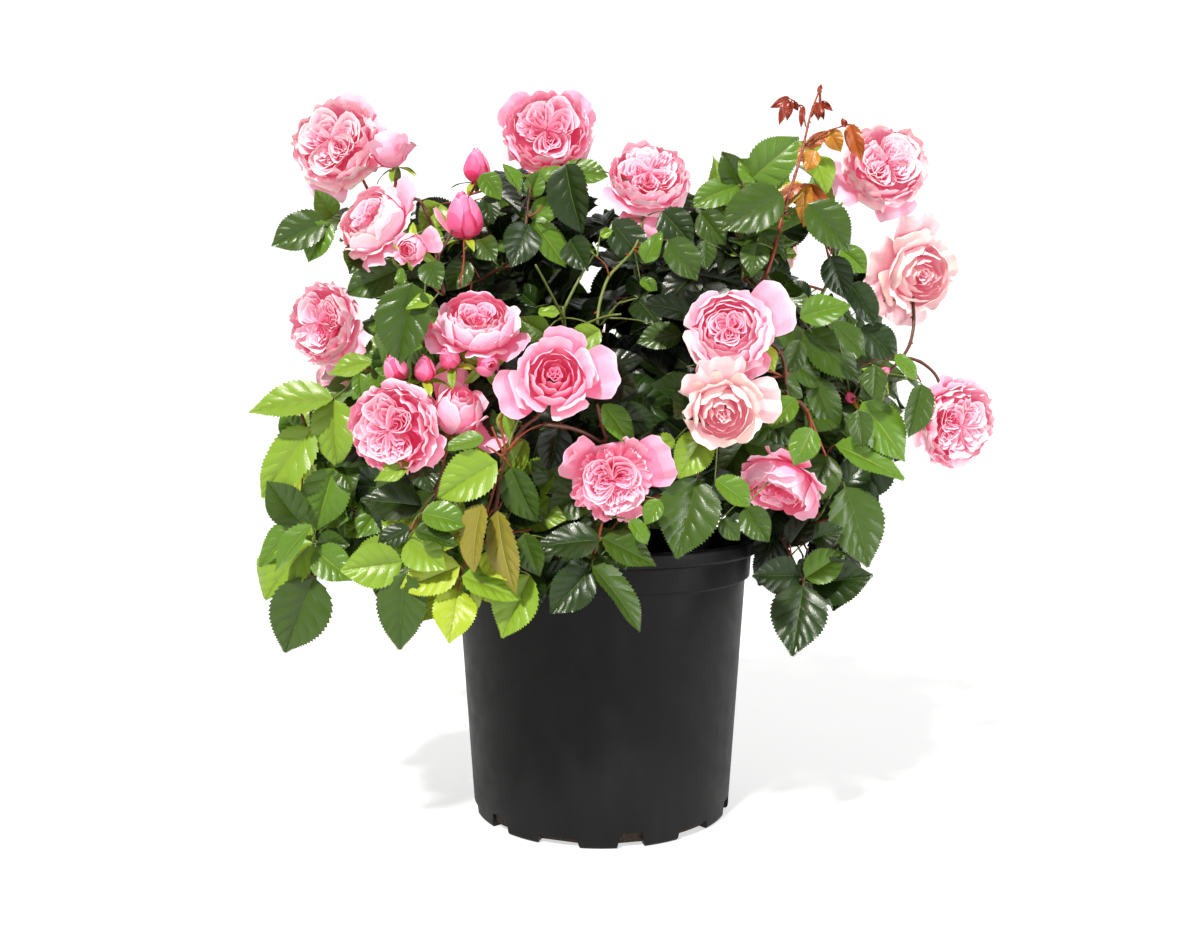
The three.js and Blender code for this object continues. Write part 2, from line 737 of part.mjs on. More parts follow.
// Leaves keep clear of every limb, of the pot and of the potting mix
const potSpace = solidOf(
  turned(
    [
      [0, -POT_GAP],
      [POT.footRadius + POT_GAP, -POT_GAP],
      [POT.topRadius + POT_GAP, POT.collarBottom],
      [POT.rimRadius + POT_GAP, POT.lipBottom - POT_GAP],
      [POT.rimRadius + POT_GAP, POT.height + POT_GAP],
      [POT.rimRadius - POT.lipWidth - POT_GAP, POT.height + POT_GAP],
      [POT.topRadius - POT.wall - POT_GAP, SOIL.top + POT_GAP],
      [0, SOIL.top + POT_GAP],
    ],
    POT.sides,
  ),
);
const obstacle = wasm.Manifold.union([...limbSpaces, stemSpace, potSpace]);
growShoot(grownMasses.find((grown) => grown.name === SHOOT.mass));
for (const grown of grownMasses) {
  grown.mass.reach.forEach((tip) => growLeaf(grown, obstacle, tip));
}
for (let round = 0; round < ROUNDS; round++) {
  for (const grown of grownMasses) {
    if (grown.leaflets < LEAFLETS_PER_MASS) growLeaf(grown, obstacle, null);
  }
}
for (const grown of grownMasses) {
  addNode("foliage_" + grown.name, largestBody(wasm.Manifold.union(grown.solids)), foliage);
}

export default group;
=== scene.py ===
import math

import bpy
import numpy as np
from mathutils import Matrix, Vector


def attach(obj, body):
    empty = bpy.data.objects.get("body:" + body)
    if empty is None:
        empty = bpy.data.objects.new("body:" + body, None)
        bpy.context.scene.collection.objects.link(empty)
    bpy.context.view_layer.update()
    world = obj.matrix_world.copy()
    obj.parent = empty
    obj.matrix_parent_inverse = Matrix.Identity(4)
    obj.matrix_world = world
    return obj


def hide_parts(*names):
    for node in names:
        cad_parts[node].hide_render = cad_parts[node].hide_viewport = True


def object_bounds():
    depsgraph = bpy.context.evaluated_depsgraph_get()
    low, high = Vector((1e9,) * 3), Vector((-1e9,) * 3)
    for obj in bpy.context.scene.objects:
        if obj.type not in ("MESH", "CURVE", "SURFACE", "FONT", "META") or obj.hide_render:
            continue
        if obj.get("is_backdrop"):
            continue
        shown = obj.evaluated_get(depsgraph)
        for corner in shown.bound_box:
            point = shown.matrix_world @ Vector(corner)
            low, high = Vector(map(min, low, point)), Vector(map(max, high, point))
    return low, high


# A double-flowered shrub rose in a black nursery pot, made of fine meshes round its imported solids.
# The tables and shapes here are in millimetres, as the part's own are, and a piece becomes metres
# when its mesh is made. +Z is up and the front of the plant faces -Y.

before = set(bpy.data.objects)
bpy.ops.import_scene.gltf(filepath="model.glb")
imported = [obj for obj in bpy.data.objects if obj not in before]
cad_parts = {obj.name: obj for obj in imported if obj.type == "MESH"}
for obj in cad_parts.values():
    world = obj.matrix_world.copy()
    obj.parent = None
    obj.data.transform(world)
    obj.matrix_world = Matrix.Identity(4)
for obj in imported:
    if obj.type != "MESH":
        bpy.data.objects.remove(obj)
cad_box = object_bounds()

MM = 0.001

# The pot and what fills it
POT = {
    "height": 241,
    "rim": 140,
    "foot": 115,
    "top": 128.5,
    "collar": 133,
    "collar_bottom": 205,
    "lip_bottom": 229,
    "wall": 3,
    "floor": 4,
    "lip_width": 7,
    "sides": 144,
}
SIDE_HOLE = {"foot": 24, "top": 18, "height": 13, "first": 12}
LOW_HOLE = {"foot": 38, "top": 32, "height": 8, "first": -18}
HOLES_OF_A_KIND = 6
HOLE_DEPTH = 26
SOIL = {"top": 214, "edge": 210, "gap": 0.4}
CHIPS = {"count": 520, "length": (5, 15), "grit": 0.14, "grit_length": (1.6, 3.2)}

# The wood: radii of limbs at foot and tip, as in the part, how many sides they have, the step
# between rings, the depth of the bark's relief, and how far apart its nodes are
CLEAR = 0.3
STEM = {"height": 56, "flare": 21, "neck": 13, "knob": 18, "tip": 6, "rings": 34, "sides": 36}
CANE = {"foot": 4.6, "tip": 3.4, "sides": 14, "step": 2.6, "depth": 0.03, "nodes": 34}
CANE_FOOT = {"ring": 13, "height": 0.62, "tier": 6}
BOUGH = {"foot": 3.2, "tip": 2.3, "sides": 10, "step": 2.8, "depth": 0.03, "nodes": 34}
HEART_BOUGH_HEIGHT = 40
TWIG = {"foot": 2.1, "tip": 1.3, "sides": 7, "step": 5, "depth": 0.02, "nodes": 28}
STALK = {"foot": 1.7, "tip": 1.2, "sides": 6, "step": 5, "depth": 0.015, "nodes": 40}
SIDE_TWIG = {"foot": 1.35, "tip": 0.8, "sides": 5, "step": 7, "depth": 0.02, "nodes": 26}
SEEN_STEM = {"sides": 7, "step": 4, "depth": 0.02, "nodes": 24}
THORN = {"length": 4.6, "width": 1.7, "spacing": 19, "sides": 5}
SEEDS = {"soil": 71, "stem": 5, "canes": 20, "boughs": 50, "masses": 100}

# A leaf: an end leaflet and one or two pairs of smaller ones on a stalk
LEAFLET = {
    "length": 60,
    "width": 43,
    "panels": 6,
    "rib": 0.02,
    "sweep": 0.24,
    "tooth": 0.03,
    "relief": 1.05,
    "curl": 0.004,
}
# Its outline: share of the length, and share of the full width there
LEAFLET_OUTLINE = [
    (0, 0), (0.03, 0.26), (0.08, 0.5), (0.16, 0.76), (0.26, 0.93), (0.38, 1), (0.5, 0.98),
    (0.62, 0.87), (0.73, 0.68), (0.82, 0.46), (0.89, 0.27), (0.94, 0.13), (0.98, 0.05), (1, 0),
]
LEAF = {"length": 126, "pair": 32, "first": 0.48, "sizes": (0.88, 0.72), "lean": 0.5}
LEAF_SCALES = (0.74, 1.04)
STALK_SCALES = (0.62, 0.9)

# How leaves are dealt out: how far apart they spring along a twig and how far apart leaflets of one
# size lie, how far past its radius a mass may reach, how much nearer to another mass, and what turns
# a leaf's face
NODE_SPACING = 27
TIP_SPACING = 13
ROOM = 1.3
LEEWAY = 1.9
LEAF_TURN = {"out": 0.5, "side": 0.75, "up": 0.4, "any": 0.75}

# How much grows: twigs round the stem of a mass, tries for each leaf along a twig, places looked at
# for each spray, and the leaflets or sprays after which a mass is full
SIDE_TWIGS = 9
LEAF_TRIES = 9
SPOTS_LOOKED_AT = 14
LEAFLETS_PER_MASS = 188
TRIES = 1100
CROWN_HEART = (0, 0, 330)
GOLDEN_TURN = 2.39996

# The middle of the crown, where leaves lie in shade, and the dark tones that paint that shade on them there
INNER_LOW = (-105, -150, 240)
INNER_HIGH = (125, 50, 500)
PAINTED_SHADE_TONES = ("shade", "shade", "shade", "deep")

# Room that leaves leave: round the pot, round a chink of sky (in pixels), round and before a bloom
# (around and beside are shares of its radius), and before a leaflet that is seen; how far off
# other leaflets are looked at, and how many the list of them can hold
POT_ROOM = 3
CHINK_ROOM_PX = 9
BLOOM_ROOM = {"around": 0.98, "beside": 0.92, "before": 70, "to_eye": 400}
SEEN_ROOM = {"radius": 0.55, "depth": 4}
NEARBY = 120
MOST_LEAFLETS = 20000

# The edge of the leaves as the photograph shows it, and the chinks where sky shows through them,
# each with a radius, all in the photograph's pixels
CROWN_EDGE_PX = [
    (273, 240), (290, 212), (318, 192), (345, 178), (372, 205), (400, 190), (425, 195), (452, 205),
    (480, 200), (497, 160), (520, 168), (545, 185), (575, 158), (602, 156), (615, 180), (640, 225),
    (668, 213), (690, 190), (712, 152), (738, 150), (765, 138), (800, 142), (822, 165), (838, 215),
    (850, 240), (866, 262), (872, 300), (885, 330), (905, 350), (918, 380), (925, 410), (908, 440),
    (903, 478), (872, 472), (884, 520), (880, 555), (862, 568), (866, 600), (845, 608), (825, 642),
    (795, 650), (775, 615), (754, 585), (750, 548), (690, 552), (655, 548), (645, 570), (641, 632),
    (615, 618), (597, 590), (565, 612), (545, 606), (525, 636), (500, 634), (497, 606), (470, 602),
    (452, 634), (438, 626), (430, 600), (412, 615), (398, 648), (376, 612), (372, 586), (345, 582),
    (326, 605), (318, 636), (286, 652), (265, 616), (260, 590), (257, 556), (260, 500), (260, 480),
    (275, 445), (290, 425), (248, 412), (290, 385), (330, 385), (345, 372), (370, 360), (372, 320),
    (350, 290), (348, 262), (330, 250), (300, 255),
]
SKY_PX = [(545, 283, 6), (595, 281, 7), (630, 293, 5), (611, 331, 7), (816, 258, 9), (812, 280, 8)]

# Canes: the compass angle of the foot (0 is +X, 90 is the back) and the fork where they end
CANES = {
    "upper_left": (170, (-112, -22, 402)),
    "lower_left": (212, (-120, -78, 318)),
    "front": (258, (-22, -92, 330)),
    "lower_right": (305, (104, -72, 318)),
    "upper_right": (350, (112, -8, 405)),
    "back_right": (38, (98, 92, 345)),
    "back": (84, (6, 104, 322)),
    "back_left": (128, (-98, 90, 348)),
}

# Masses of foliage: the middle and radius of the space each one keeps to, the cane that bears its
# bough and how far up it the fork is, the leaf tones it has (darker in masses that lie in the crown's
# shade and lighter in sunlit ones, so partly painted shade and light), and the tips that reach furthest out
MASSES = {
    name: {"at": at, "radius": radius, "cane": cane, "fork": fork, "tones": tones.split(), "reach": reach}
    for name, at, radius, cane, fork, tones, reach in (
        ("upper_left", (-182, -66, 480), 98, "upper_left", 1, "bright mid fresh mid", []),
        ("top_left", (-88, -36, 474), 96, "upper_left", 0.8, "deep mid shade bright", []),
        ("left", (-216, -48, 374), 94, "upper_left", 0.6, "fresh lime fresh bright", []),
        ("front_left", (-130, -142, 338), 92, "lower_left", 1, "mid bright fresh deep", []),
        ("lower_left", (-206, -92, 256), 98, "lower_left", 0.78, "bright fresh mid fresh", []),
        ("front_rim", (-92, -176, 240), 84, "lower_left", 0.56, "mid lime deep fresh", []),
        ("front_centre", (-30, -132, 404), 92, "front", 1, "shade deep shade deep", []),
        ("front_low", (22, -164, 264), 88, "front", 0.7, "mid deep bright mid", []),
        ("front_right", (100, -132, 352), 92, "lower_right", 1, "mid deep mid deep", []),
        ("right", (206, -46, 352), 98, "lower_right", 0.8, "mid deep mid deep", []),
        ("lower_right", (182, -86, 244), 94, "lower_right", 0.6, "deep shade deep shade", []),
        ("top_right", (128, -48, 500), 98, "upper_right", 1, "bright mid fresh mid", []),
        ("upper_right", (208, -2, 460), 94, "upper_right", 0.8, "mid deep mid deep", []),
        ("top_centre", (28, -40, 480), 98, "upper_right", 0.62, "deep shade deep shade", []),
        ("back_upper_right", (108, 108, 468), 102, "back_right", 1, "mid bright mid fresh",
         [(170, 96, 540)]),
        ("back_right", (196, 104, 330), 100, "back_right", 0.72, "mid deep bright mid", [(256, 90, 262)]),
        ("back_centre", (6, 178, 392), 98, "back", 1, "mid bright fresh mid", [(-10, 230, 462)]),
        ("back_low", (-6, 186, 268), 90, "back", 0.7, "mid bright deep fresh",
         [(-20, 236, 206), (56, 216, 210)]),
        ("back_upper_left", (-116, 104, 462), 102, "back_left", 1, "mid bright deep mid",
         [(-176, 92, 534)]),
        ("back_left", (-204, 100, 322), 100, "back_left", 0.72, "bright fresh mid mid",
         [(-262, 90, 248), (-150, 180, 250)]),
        ("heart", (6, 26, 424), 88, None, 1, "deep mid deep mid", [(10, 40, 500)]),
    )
}

# Blooms: the mass that bears each one, the middle of the head, its width, where it faces (yaw
# from the front towards +X, pitch upwards), its kind, how pale it is, and its wings: outer
# petals that stand out, each a clock angle (0 right, 90 up as the bloom is seen), reach and droop
BLOOMS = [
    ("upper_left", (-222, -60, 576), 78, -12, 12, "rosette", 1,
     [(70, 1.15, 0.1), (20, 1.15, 0.3), (250, 1.2, 0.6)]),
    ("upper_left", (-174, -72, 566), 44, -60, 70, "half_open", 0, [(200, 1.5, 0.5), (30, 1.0, 0.1)]),
    ("upper_left", (-176, -132, 498), 68, -35, 28, "globe", 1, [(50, 1.25, 0.0), (290, 1.1, 0.5)]),
    ("upper_left", (-136, -186, 467), 30, -8, -12, "half_open", 0, [(20, 1.5, 0.2)]),
    ("top_left", (-104, -62, 554), 25, 0, 82, "bud", 0, []),
    ("top_left", (-108, -112, 503), 32, -20, 74, "bud", 0, [(190, 1.1, -0.4)]),
    ("top_left", (-45, -62, 584), 76, 0, 12, "rosette", -1, [(140, 1.15, 0.1), (45, 1.15, 0.1)]),
    ("top_centre", (38, -92, 541), 70, 5, 32, "rosette", 0, [(262, 1.35, 0.9), (215, 1.15, 0.3)]),
    ("left", (-226, -92, 423), 70, -30, 5, "rosette", 0, [(320, 1.25, 0.4), (285, 1.15, 0.5)]),
    ("front_left", (-88, -196, 414), 64, 8, 44, "globe", -1, [(200, 1.25, 0.3), (330, 1.2, 0.3)]),
    ("front_left", (-129, -192, 412), 18, -10, 65, "bud", -1, []),
    ("front_centre", (-32, -226, 374), 62, 4, 12, "cup", -1.5,
     [(8, 1.42, 0.15), (200, 1.36, 0.35), (75, 1.15, 0.1)]),
    ("front_left", (-144, -222, 338), 66, -15, -8, "rosette", -1, [(320, 1.15, 0.4)]),
    ("front_left", (-101, -200, 350), 50, 22, 46, "half_open", 0,
     [(95, 1.25, -1.0), (325, 1.6, 0.3), (160, 1.05, -0.2)]),
    ("front_right", (89, -200, 408), 64, -10, 10, "globe", 0, [(28, 1.5, 0.1), (300, 1.2, 0.5)]),
    ("front_right", (84, -212, 350), 62, 0, -24, "old_cup", 2.4,
     [(95, 1.3, 0.0), (10, 1.35, 0.3), (130, 1.15, 0.1)]),
    ("front_low", (8, -204, 302), 64, 4, -8, "ragged", -1, [(22, 1.4, 0.1), (150, 1.2, 0.1)]),
    ("front_right", (132, -166, 294), 66, -40, -52, "globe", -1, [(60, 1.25, 0.3)]),
    ("upper_right", (246, -24, 566), 77, 4, 14, "rosette", 1, [(200, 1.3, 0.3), (290, 1.2, 0.5)]),
    ("upper_right", (283, -6, 474), 80, 14, -16, "old_cup", 1.6,
     [(100, 1.3, 0.1), (165, 1.25, 0.3), (212, 1.25, 0.3), (268, 1.2, 0.3)]),
    ("right", (306, -42, 340), 76, 20, -10, "rosette", 0, [(130, 1.2, 0.1), (70, 1.1, 0.2)]),
    ("back_upper_left", (-150, 150, 536), 72, -155, 30, "rosette", 0, [(200, 1.2, 0.3)]),
    ("back_upper_left", (-92, 196, 500), 68, 185, 22, "globe", 1, [(30, 1.3, 0.2)]),
    ("back_left", (-268, 134, 396), 72, -120, 12, "rosette", 1, [(250, 1.2, 0.5)]),
    ("back_left", (-196, 196, 322), 64, -155, -5, "cup", 0, [(10, 1.4, 0.2), (170, 1.3, 0.3)]),
    ("back_centre", (-24, 268, 430), 70, 180, 14, "rosette", -1, [(320, 1.2, 0.4)]),
    ("back_centre", (52, 262, 362), 62, 165, -6, "globe", 0, [(160, 1.3, 0.2)]),
    ("back_upper_right", (66, 176, 560), 76, 168, 30, "rosette", 0, [(260, 1.3, 0.8)]),
    ("back_upper_right", (176, 154, 524), 66, 135, 24, "globe", 1, [(60, 1.2, 0.1)]),
    ("back_right", (272, 132, 392), 70, 110, 6, "rosette", 2, [(210, 1.25, 0.4)]),
    ("back_right", (196, 196, 300), 66, 150, -10, "cup", 0, [(350, 1.4, 0.3), (120, 1.2, 0.1)]),
    ("back_low", (-78, 244, 300), 58, -170, -6, "half_open", 0, [(220, 1.4, 0.4)]),
    ("back_upper_right", (124, 196, 486), 28, 160, 70, "bud", 0, [(190, 1.1, -0.4)]),
    ("back_left", (-262, 60, 306), 30, -80, 60, "bud", 0, []),
]
# How far behind its middle a bloom meets its stalk, as a share of its width, and how far below
# that the stalk leaves the stem
HEAD_NECK = 0.25
HEAD_HANG = 30

# Stems and leaf stalks that show in the photograph, in its pixels from the foot to the tip: the
# mass they grow in, their depth (Y) at the foot and the tip, their radii, their colour, how far
# apart their thorns are (0 for none), whether they bear the nearest bloom, and the way they run.
# The first is the tall young shoot.
SEEN_STEMS_PX = [
    ("top_right", (-96, -42), (2.1, 0.8), "red", 8, False, [
        (758, 292), (768, 270), (776, 245), (782, 215), (794, 180), (802, 152), (807, 130), (811, 112),
        (817, 97), (820, 88)]),
    ("top_right", (-44, -46), (0.7, 0.5), "red", 0, False, [(806, 132), (804, 113), (797, 102), (788, 98)]),
    ("top_right", (-46, -58), (0.8, 0.5), "red", 0, False, [(791, 198), (798, 189), (806, 183)]),
    ("top_right", (-46, -50), (0.8, 0.5), "red", 0, False, [
        (804, 149), (818, 136), (832, 129), (848, 125)]),
    ("upper_right", (-40, 8), (2.2, 1.5), "brown", 22, True, [
        (862, 394), (880, 379), (893, 368), (903, 357), (911, 343), (915, 318)]),
    ("right", (-10, -24), (1.7, 1.3), "brown", 0, True, [
        (903, 357), (918, 360), (931, 369), (938, 378), (942, 390)]),
    ("right", (-10, -20), (1.0, 0.7), "red", 0, False, [(903, 357), (913, 368), (921, 382)]),
    ("upper_right", (-36, -14), (1.5, 1.1), "green", 0, True, [(832, 213), (842, 203), (853, 195)]),
    ("upper_right", (4, 16), (1.1, 0.8), "green", 0, False, [(868, 305), (875, 290), (880, 278)]),
    ("upper_right", (4, 16), (1.1, 0.8), "green", 0, False, [(876, 317), (886, 303), (896, 290)]),
    ("front_right", (-170, -186), (1.8, 1.2), "brown", 18, True, [
        (772, 432), (783, 420), (789, 402), (785, 385), (786, 365), (778, 347), (762, 339)]),
    ("front_right", (-176, -186), (1.2, 0.9), "red", 0, False, [(785, 378), (772, 371), (756, 370)]),
    ("front_right", (-176, -184), (1.2, 0.8), "red", 0, True, [(784, 376), (766, 378), (748, 385)]),
    ("front_right", (-172, -168), (1.7, 1.3), "brown", 0, True, [
        (789, 403), (799, 400), (807, 411), (812, 427), (803, 450), (793, 464)]),
    ("front_right", (-174, -160), (1.2, 0.8), "red", 0, False, [(806, 408), (815, 430), (826, 456)]),
    ("upper_left", (-150, -110), (2.1, 1.3), "brown", 20, True, [
        (446, 300), (441, 282), (437, 258), (434, 234), (427, 212), (415, 192)]),
    ("upper_left", (-150, -138), (1.5, 1.1), "brown", 0, False, [(437, 256), (446, 244), (452, 230)]),
    ("upper_left", (-152, -172), (1.5, 1.0), "brown", 0, True, [(438, 255), (430, 247), (420, 246)]),
    ("top_left", (-150, -116), (1.2, 0.9), "red", 16, True, [(457, 292), (464, 268), (464, 240)]),
    ("top_left", (-112, -66), (1.1, 0.9), "red", 0, True, [(463, 212), (468, 200), (470, 186)]),
    ("top_left", (-112, -100), (1.6, 1.0), "brown", 18, False, [
        (514, 266), (522, 240), (527, 220), (528, 200), (532, 182)]),
    ("top_left", (-108, -104), (0.8, 0.6), "red", 0, False, [(530, 218), (543, 206)]),
    ("top_centre", (-140, -104), (1.6, 1.1), "green", 18, True, [
        (597, 332), (598, 310), (603, 290), (609, 275), (622, 263), (635, 249), (641, 232)]),
    ("top_centre", (-126, -122), (0.8, 0.4), "red", 0, False, [(609, 276), (606, 264), (597, 257)]),
    ("front_centre", (-196, -216), (1.9, 1.3), "brown", 12, True, [
        (492, 524), (497, 502), (500, 480), (503, 460), (513, 440), (526, 424), (541, 416)]),
    ("front_centre", (-214, -214), (1.1, 0.7), "red", 0, False, [(505, 456), (498, 442), (492, 427)]),
    ("front_centre", (-214, -210), (1.0, 0.7), "red", 0, False, [(506, 452), (503, 436), (499, 420)]),
    ("front_centre", (-214, -216), (1.0, 0.6), "red", 0, False, [
        (508, 450), (518, 437), (531, 428), (543, 424)]),
    ("front_centre", (-214, -212), (1.1, 0.9), "green", 0, False, [(508, 447), (513, 430), (520, 416)]),
    ("front_centre", (-214, -214), (1.0, 0.6), "red", 0, False, [(503, 458), (494, 450), (486, 446)]),
    ("front_centre", (-196, -206), (1.2, 0.8), "red", 12, False, [(484, 522), (491, 500), (497, 478)]),
    ("front_centre", (-186, -206), (2.0, 1.4), "brown", 16, False, [(610, 448), (602, 426), (597, 404)]),
    ("front_left", (-196, -204), (1.7, 1.1), "brown", 14, True, [
        (431, 508), (437, 490), (443, 470), (443, 452), (437, 438)]),
    ("front_left", (-202, -204), (1.1, 0.8), "red", 0, True, [(443, 462), (448, 448), (454, 432)]),
    ("left", (-150, -140), (1.1, 0.8), "green", 0, False, [(358, 374), (345, 390), (334, 399)]),
    ("left", (-140, -150), (1.0, 0.8), "red", 0, False, [(299, 412), (303, 420), (306, 428)]),
    ("lower_left", (-150, -165), (1.1, 0.8), "green", 0, False, [
        (310, 522), (314, 530), (316, 545), (314, 576)]),
    ("front_low", (-196, -196), (1.1, 0.8), "red", 0, True, [(590, 568), (597, 545), (603, 520)]),
    ("front_rim", (-205, -218), (1.2, 0.9), "red", 0, False, [
        (470, 550), (465, 562), (460, 578), (458, 590)]),
    ("front_rim", (-200, -212), (1.2, 0.9), "red", 0, False, [
        (428, 500), (419, 518), (411, 528), (408, 540)]),
    ("lower_right", (-96, -112), (1.5, 1.0), "brown", 0, False, [
        (780, 536), (788, 550), (796, 566), (803, 582)]),
    ("right", (-100, -92), (1.0, 0.8), "green", 0, False, [(826, 456), (838, 472), (845, 488)]),
]

# How far the leaflets of one group below lie apart in depth, to either side
DEPTH_SPREAD = 15

# Leaflets that show in the photograph, in its pixels: by mass and depth (Y), each with its root,
# its tip, how wide it looks, and its tone, partly its own colour and partly painted light or shade as it
# falls there
SEEN_LEAFLETS_PX = [
    ("top_right", -46, [
        ((789, 98), (770, 108), 8, "red"), ((788, 99), (779, 125), 9, "red"),
        ((791, 101), (787, 121), 7, "red"), ((794, 102), (798, 111), 6, "red"),
        ((803, 106), (801, 128), 6, "red"), ((817, 102), (811, 118), 6, "red"),
        ((819, 102), (818, 121), 8, "red"), ((821, 101), (833, 111), 6, "red"),
        ((820, 104), (824, 120), 6, "red"), ((819, 94), (821, 84), 5, "red"),
        ((846, 127), (842, 118), 6, "red"),
    ]),
    ("top_right", -52, [
        ((803, 148), (784, 167), 14, "amber"), ((806, 147), (830, 131), 12, "bronze"),
        ((815, 150), (806, 172), 17, "amber"), ((829, 130), (841, 152), 18, "amber"),
        ((848, 126), (852, 153), 9, "bronze"), ((850, 124), (862, 162), 15, "bronze"),
        ((804, 184), (772, 214), 19, "gold"), ((801, 184), (763, 211), 11, "bronze"),
        ((805, 183), (804, 227), 16, "amber"), ((808, 184), (833, 219), 14, "bronze"),
    ]),
    ("top_right", -96, [
        ((752, 178), (796, 140), 42, "bright"), ((762, 186), (738, 159), 24, "bright"),
        ((783, 195), (720, 230), 44, "mid"), ((738, 186), (690, 207), 27, "bright"),
        ((740, 184), (722, 152), 26, "mid"), ((700, 212), (726, 245), 30, "mid"),
        ((757, 243), (751, 279), 28, "mid"), ((705, 240), (706, 270), 20, "mid"),
        ((808, 204), (850, 252), 38, "mid"), ((760, 232), (785, 255), 20, "mid"),
    ]),
    ("upper_right", -56, [
        ((840, 249), (867, 273), 24, "bright"), ((830, 256), (845, 299), 30, "deep"),
        ((850, 284), (874, 326), 26, "deep"), ((862, 326), (898, 362), 30, "deep"),
        ((895, 355), (917, 381), 14, "bright"),
    ]),
    ("right", -118, [
        ((800, 318), (851, 306), 30, "bright"), ((833, 322), (867, 357), 22, "mid"),
        ((803, 332), (860, 382), 36, "mid"), ((812, 378), (836, 435), 30, "mid"),
        ((875, 365), (873, 399), 24, "mid"), ((862, 402), (905, 462), 40, "bright"),
        ((858, 410), (862, 448), 24, "mid"), ((922, 384), (908, 438), 26, "mid"),
        ((845, 487), (868, 568), 52, "mid"), ((828, 455), (805, 506), 42, "mid"),
        ((835, 445), (904, 480), 27, "bright"),
    ]),
    ("lower_right", -116, [
        ((800, 575), (750, 576), 38, "deep"), ((803, 585), (793, 651), 54, "deep"),
        ((812, 584), (867, 576), 46, "deep"), ((805, 578), (846, 552), 32, "bright"),
        ((812, 540), (842, 528), 24, "deep"), ((790, 545), (815, 512), 26, "shade"),
    ]),
    ("front_right", -190, [
        ((697, 478), (677, 557), 60, "mid"), ((704, 434), (678, 479), 38, "fresh"),
        ((675, 440), (642, 453), 22, "fresh"), ((715, 480), (752, 508), 26, "bright"),
        ((745, 508), (768, 541), 30, "mid"), ((720, 520), (740, 540), 20, "mid"),
        ((800, 340), (784, 376), 24, "mid"), ((795, 398), (768, 431), 26, "bright"),
        ((812, 428), (794, 466), 30, "bright"), ((760, 345), (775, 372), 18, "lime"),
    ]),
    ("front_low", -204, [
        ((600, 540), (536, 548), 34, "deep"), ((590, 570), (551, 612), 42, "deep"),
        ((592, 566), (640, 633), 27, "mid"), ((602, 538), (656, 566), 30, "mid"),
        ((630, 520), (648, 545), 16, "bright"), ((524, 534), (540, 577), 26, "mid"),
        ((660, 500), (645, 525), 20, "bright"),
    ]),
    ("front_rim", -218, [
        ((402, 562), (342, 570), 44, "fresh"), ((405, 573), (400, 650), 46, "mid"),
        ((408, 540), (446, 570), 40, "fresh"), ((460, 566), (401, 590), 40, "lime"),
        ((461, 578), (421, 622), 30, "lime"), ((458, 589), (450, 638), 42, "lime"),
        ((422, 513), (469, 526), 30, "bright"), ((472, 524), (440, 546), 14, "lime"),
        ((462, 576), (521, 600), 27, "fresh"), ((530, 575), (502, 638), 44, "fresh"),
        ((488, 550), (508, 580), 32, "lime"), ((415, 530), (456, 546), 20, "mid"),
    ]),
    ("front_rim", -228, [
        ((482, 504), (474, 573), 26, "olive"), ((498, 511), (517, 596), 29, "olive"),
    ]),
    ("front_left", -206, [
        ((497, 462), (438, 499), 47, "fresh"), ((484, 441), (484, 476), 15, "lime"),
        ((484, 438), (444, 450), 16, "bright"), ((422, 506), (360, 500), 36, "deep"),
        ((411, 465), (374, 481), 18, "fresh"), ((418, 460), (432, 493), 29, "deep"),
        ((412, 283), (398, 367), 50, "mid"), ((428, 262), (440, 292), 26, "mid"),
        ((401, 268), (403, 288), 10, "bright"), ((434, 298), (406, 309), 12, "fresh"),
        ((410, 528), (376, 546), 22, "deep"),
    ]),
    ("front_centre", -208, [
        ((525, 439), (508, 481), 27, "fresh"), ((511, 468), (538, 523), 33, "mid"),
        ((505, 408), (512, 441), 17, "fresh"), ((603, 404), (634, 448), 25, "bright"),
    ]),
    ("front_centre", -160, [
        ((600, 330), (566, 353), 28, "fresh"), ((545, 334), (519, 318), 26, "bright"),
        ((538, 313), (561, 313), 11, "fresh"),
    ]),
    ("lower_left", -168, [
        ((298, 525), (260, 567), 23, "bright"), ((312, 525), (275, 573), 21, "bright"),
        ((312, 542), (265, 600), 36, "fresh"), ((314, 577), (285, 653), 58, "mid"),
        ((315, 550), (353, 581), 36, "bright"), ((318, 543), (352, 545), 26, "mid"),
    ]),
    ("left", -156, [
        ((333, 399), (248, 413), 30, "fresh"), ((335, 400), (338, 468), 42, "fresh"),
        ((312, 428), (262, 498), 42, "fresh"), ((300, 523), (268, 482), 38, "mid"),
        ((334, 468), (316, 530), 46, "bright"), ((342, 462), (354, 492), 26, "mid"),
        ((360, 373), (362, 399), 16, "bright"), ((372, 371), (399, 388), 16, "bright"),
        ((372, 362), (328, 375), 19, "fresh"),
    ]),
    ("upper_left", -110, [
        ((327, 221), (271, 246), 36, "mid"), ((330, 222), (308, 263), 27, "bright"),
        ((334, 216), (318, 194), 24, "bright"), ((360, 250), (349, 274), 26, "mid"),
        ((399, 270), (346, 295), 36, "mid"),
    ]),
    ("top_left", -108, [
        ((441, 204), (420, 231), 28, "fresh"), ((503, 164), (521, 196), 13, "bright"),
        ((530, 197), (540, 171), 20, "bright"), ((533, 219), (566, 197), 24, "bright"),
        ((533, 221), (566, 268), 27, "bright"), ((529, 225), (510, 269), 36, "deep"),
        ((482, 174), (501, 200), 22, "bright"), ((479, 240), (498, 263), 26, "mid"),
        ((470, 262), (446, 291), 26, "mid"), ((486, 198), (494, 226), 22, "deep"),
    ]),
    ("top_centre", -118, [
        ((566, 164), (583, 234), 42, "deep"), ((570, 240), (589, 273), 30, "deep"),
        ((612, 222), (646, 264), 36, "deep"), ((645, 263), (662, 232), 19, "bright"),
        ((662, 211), (694, 246), 34, "deep"), ((668, 240), (698, 281), 33, "mid"),
        ((682, 334), (636, 343), 27, "mid"), ((600, 236), (613, 230), 10, "fresh"),
        ((640, 280), (658, 291), 12, "bright"),
    ]),
]

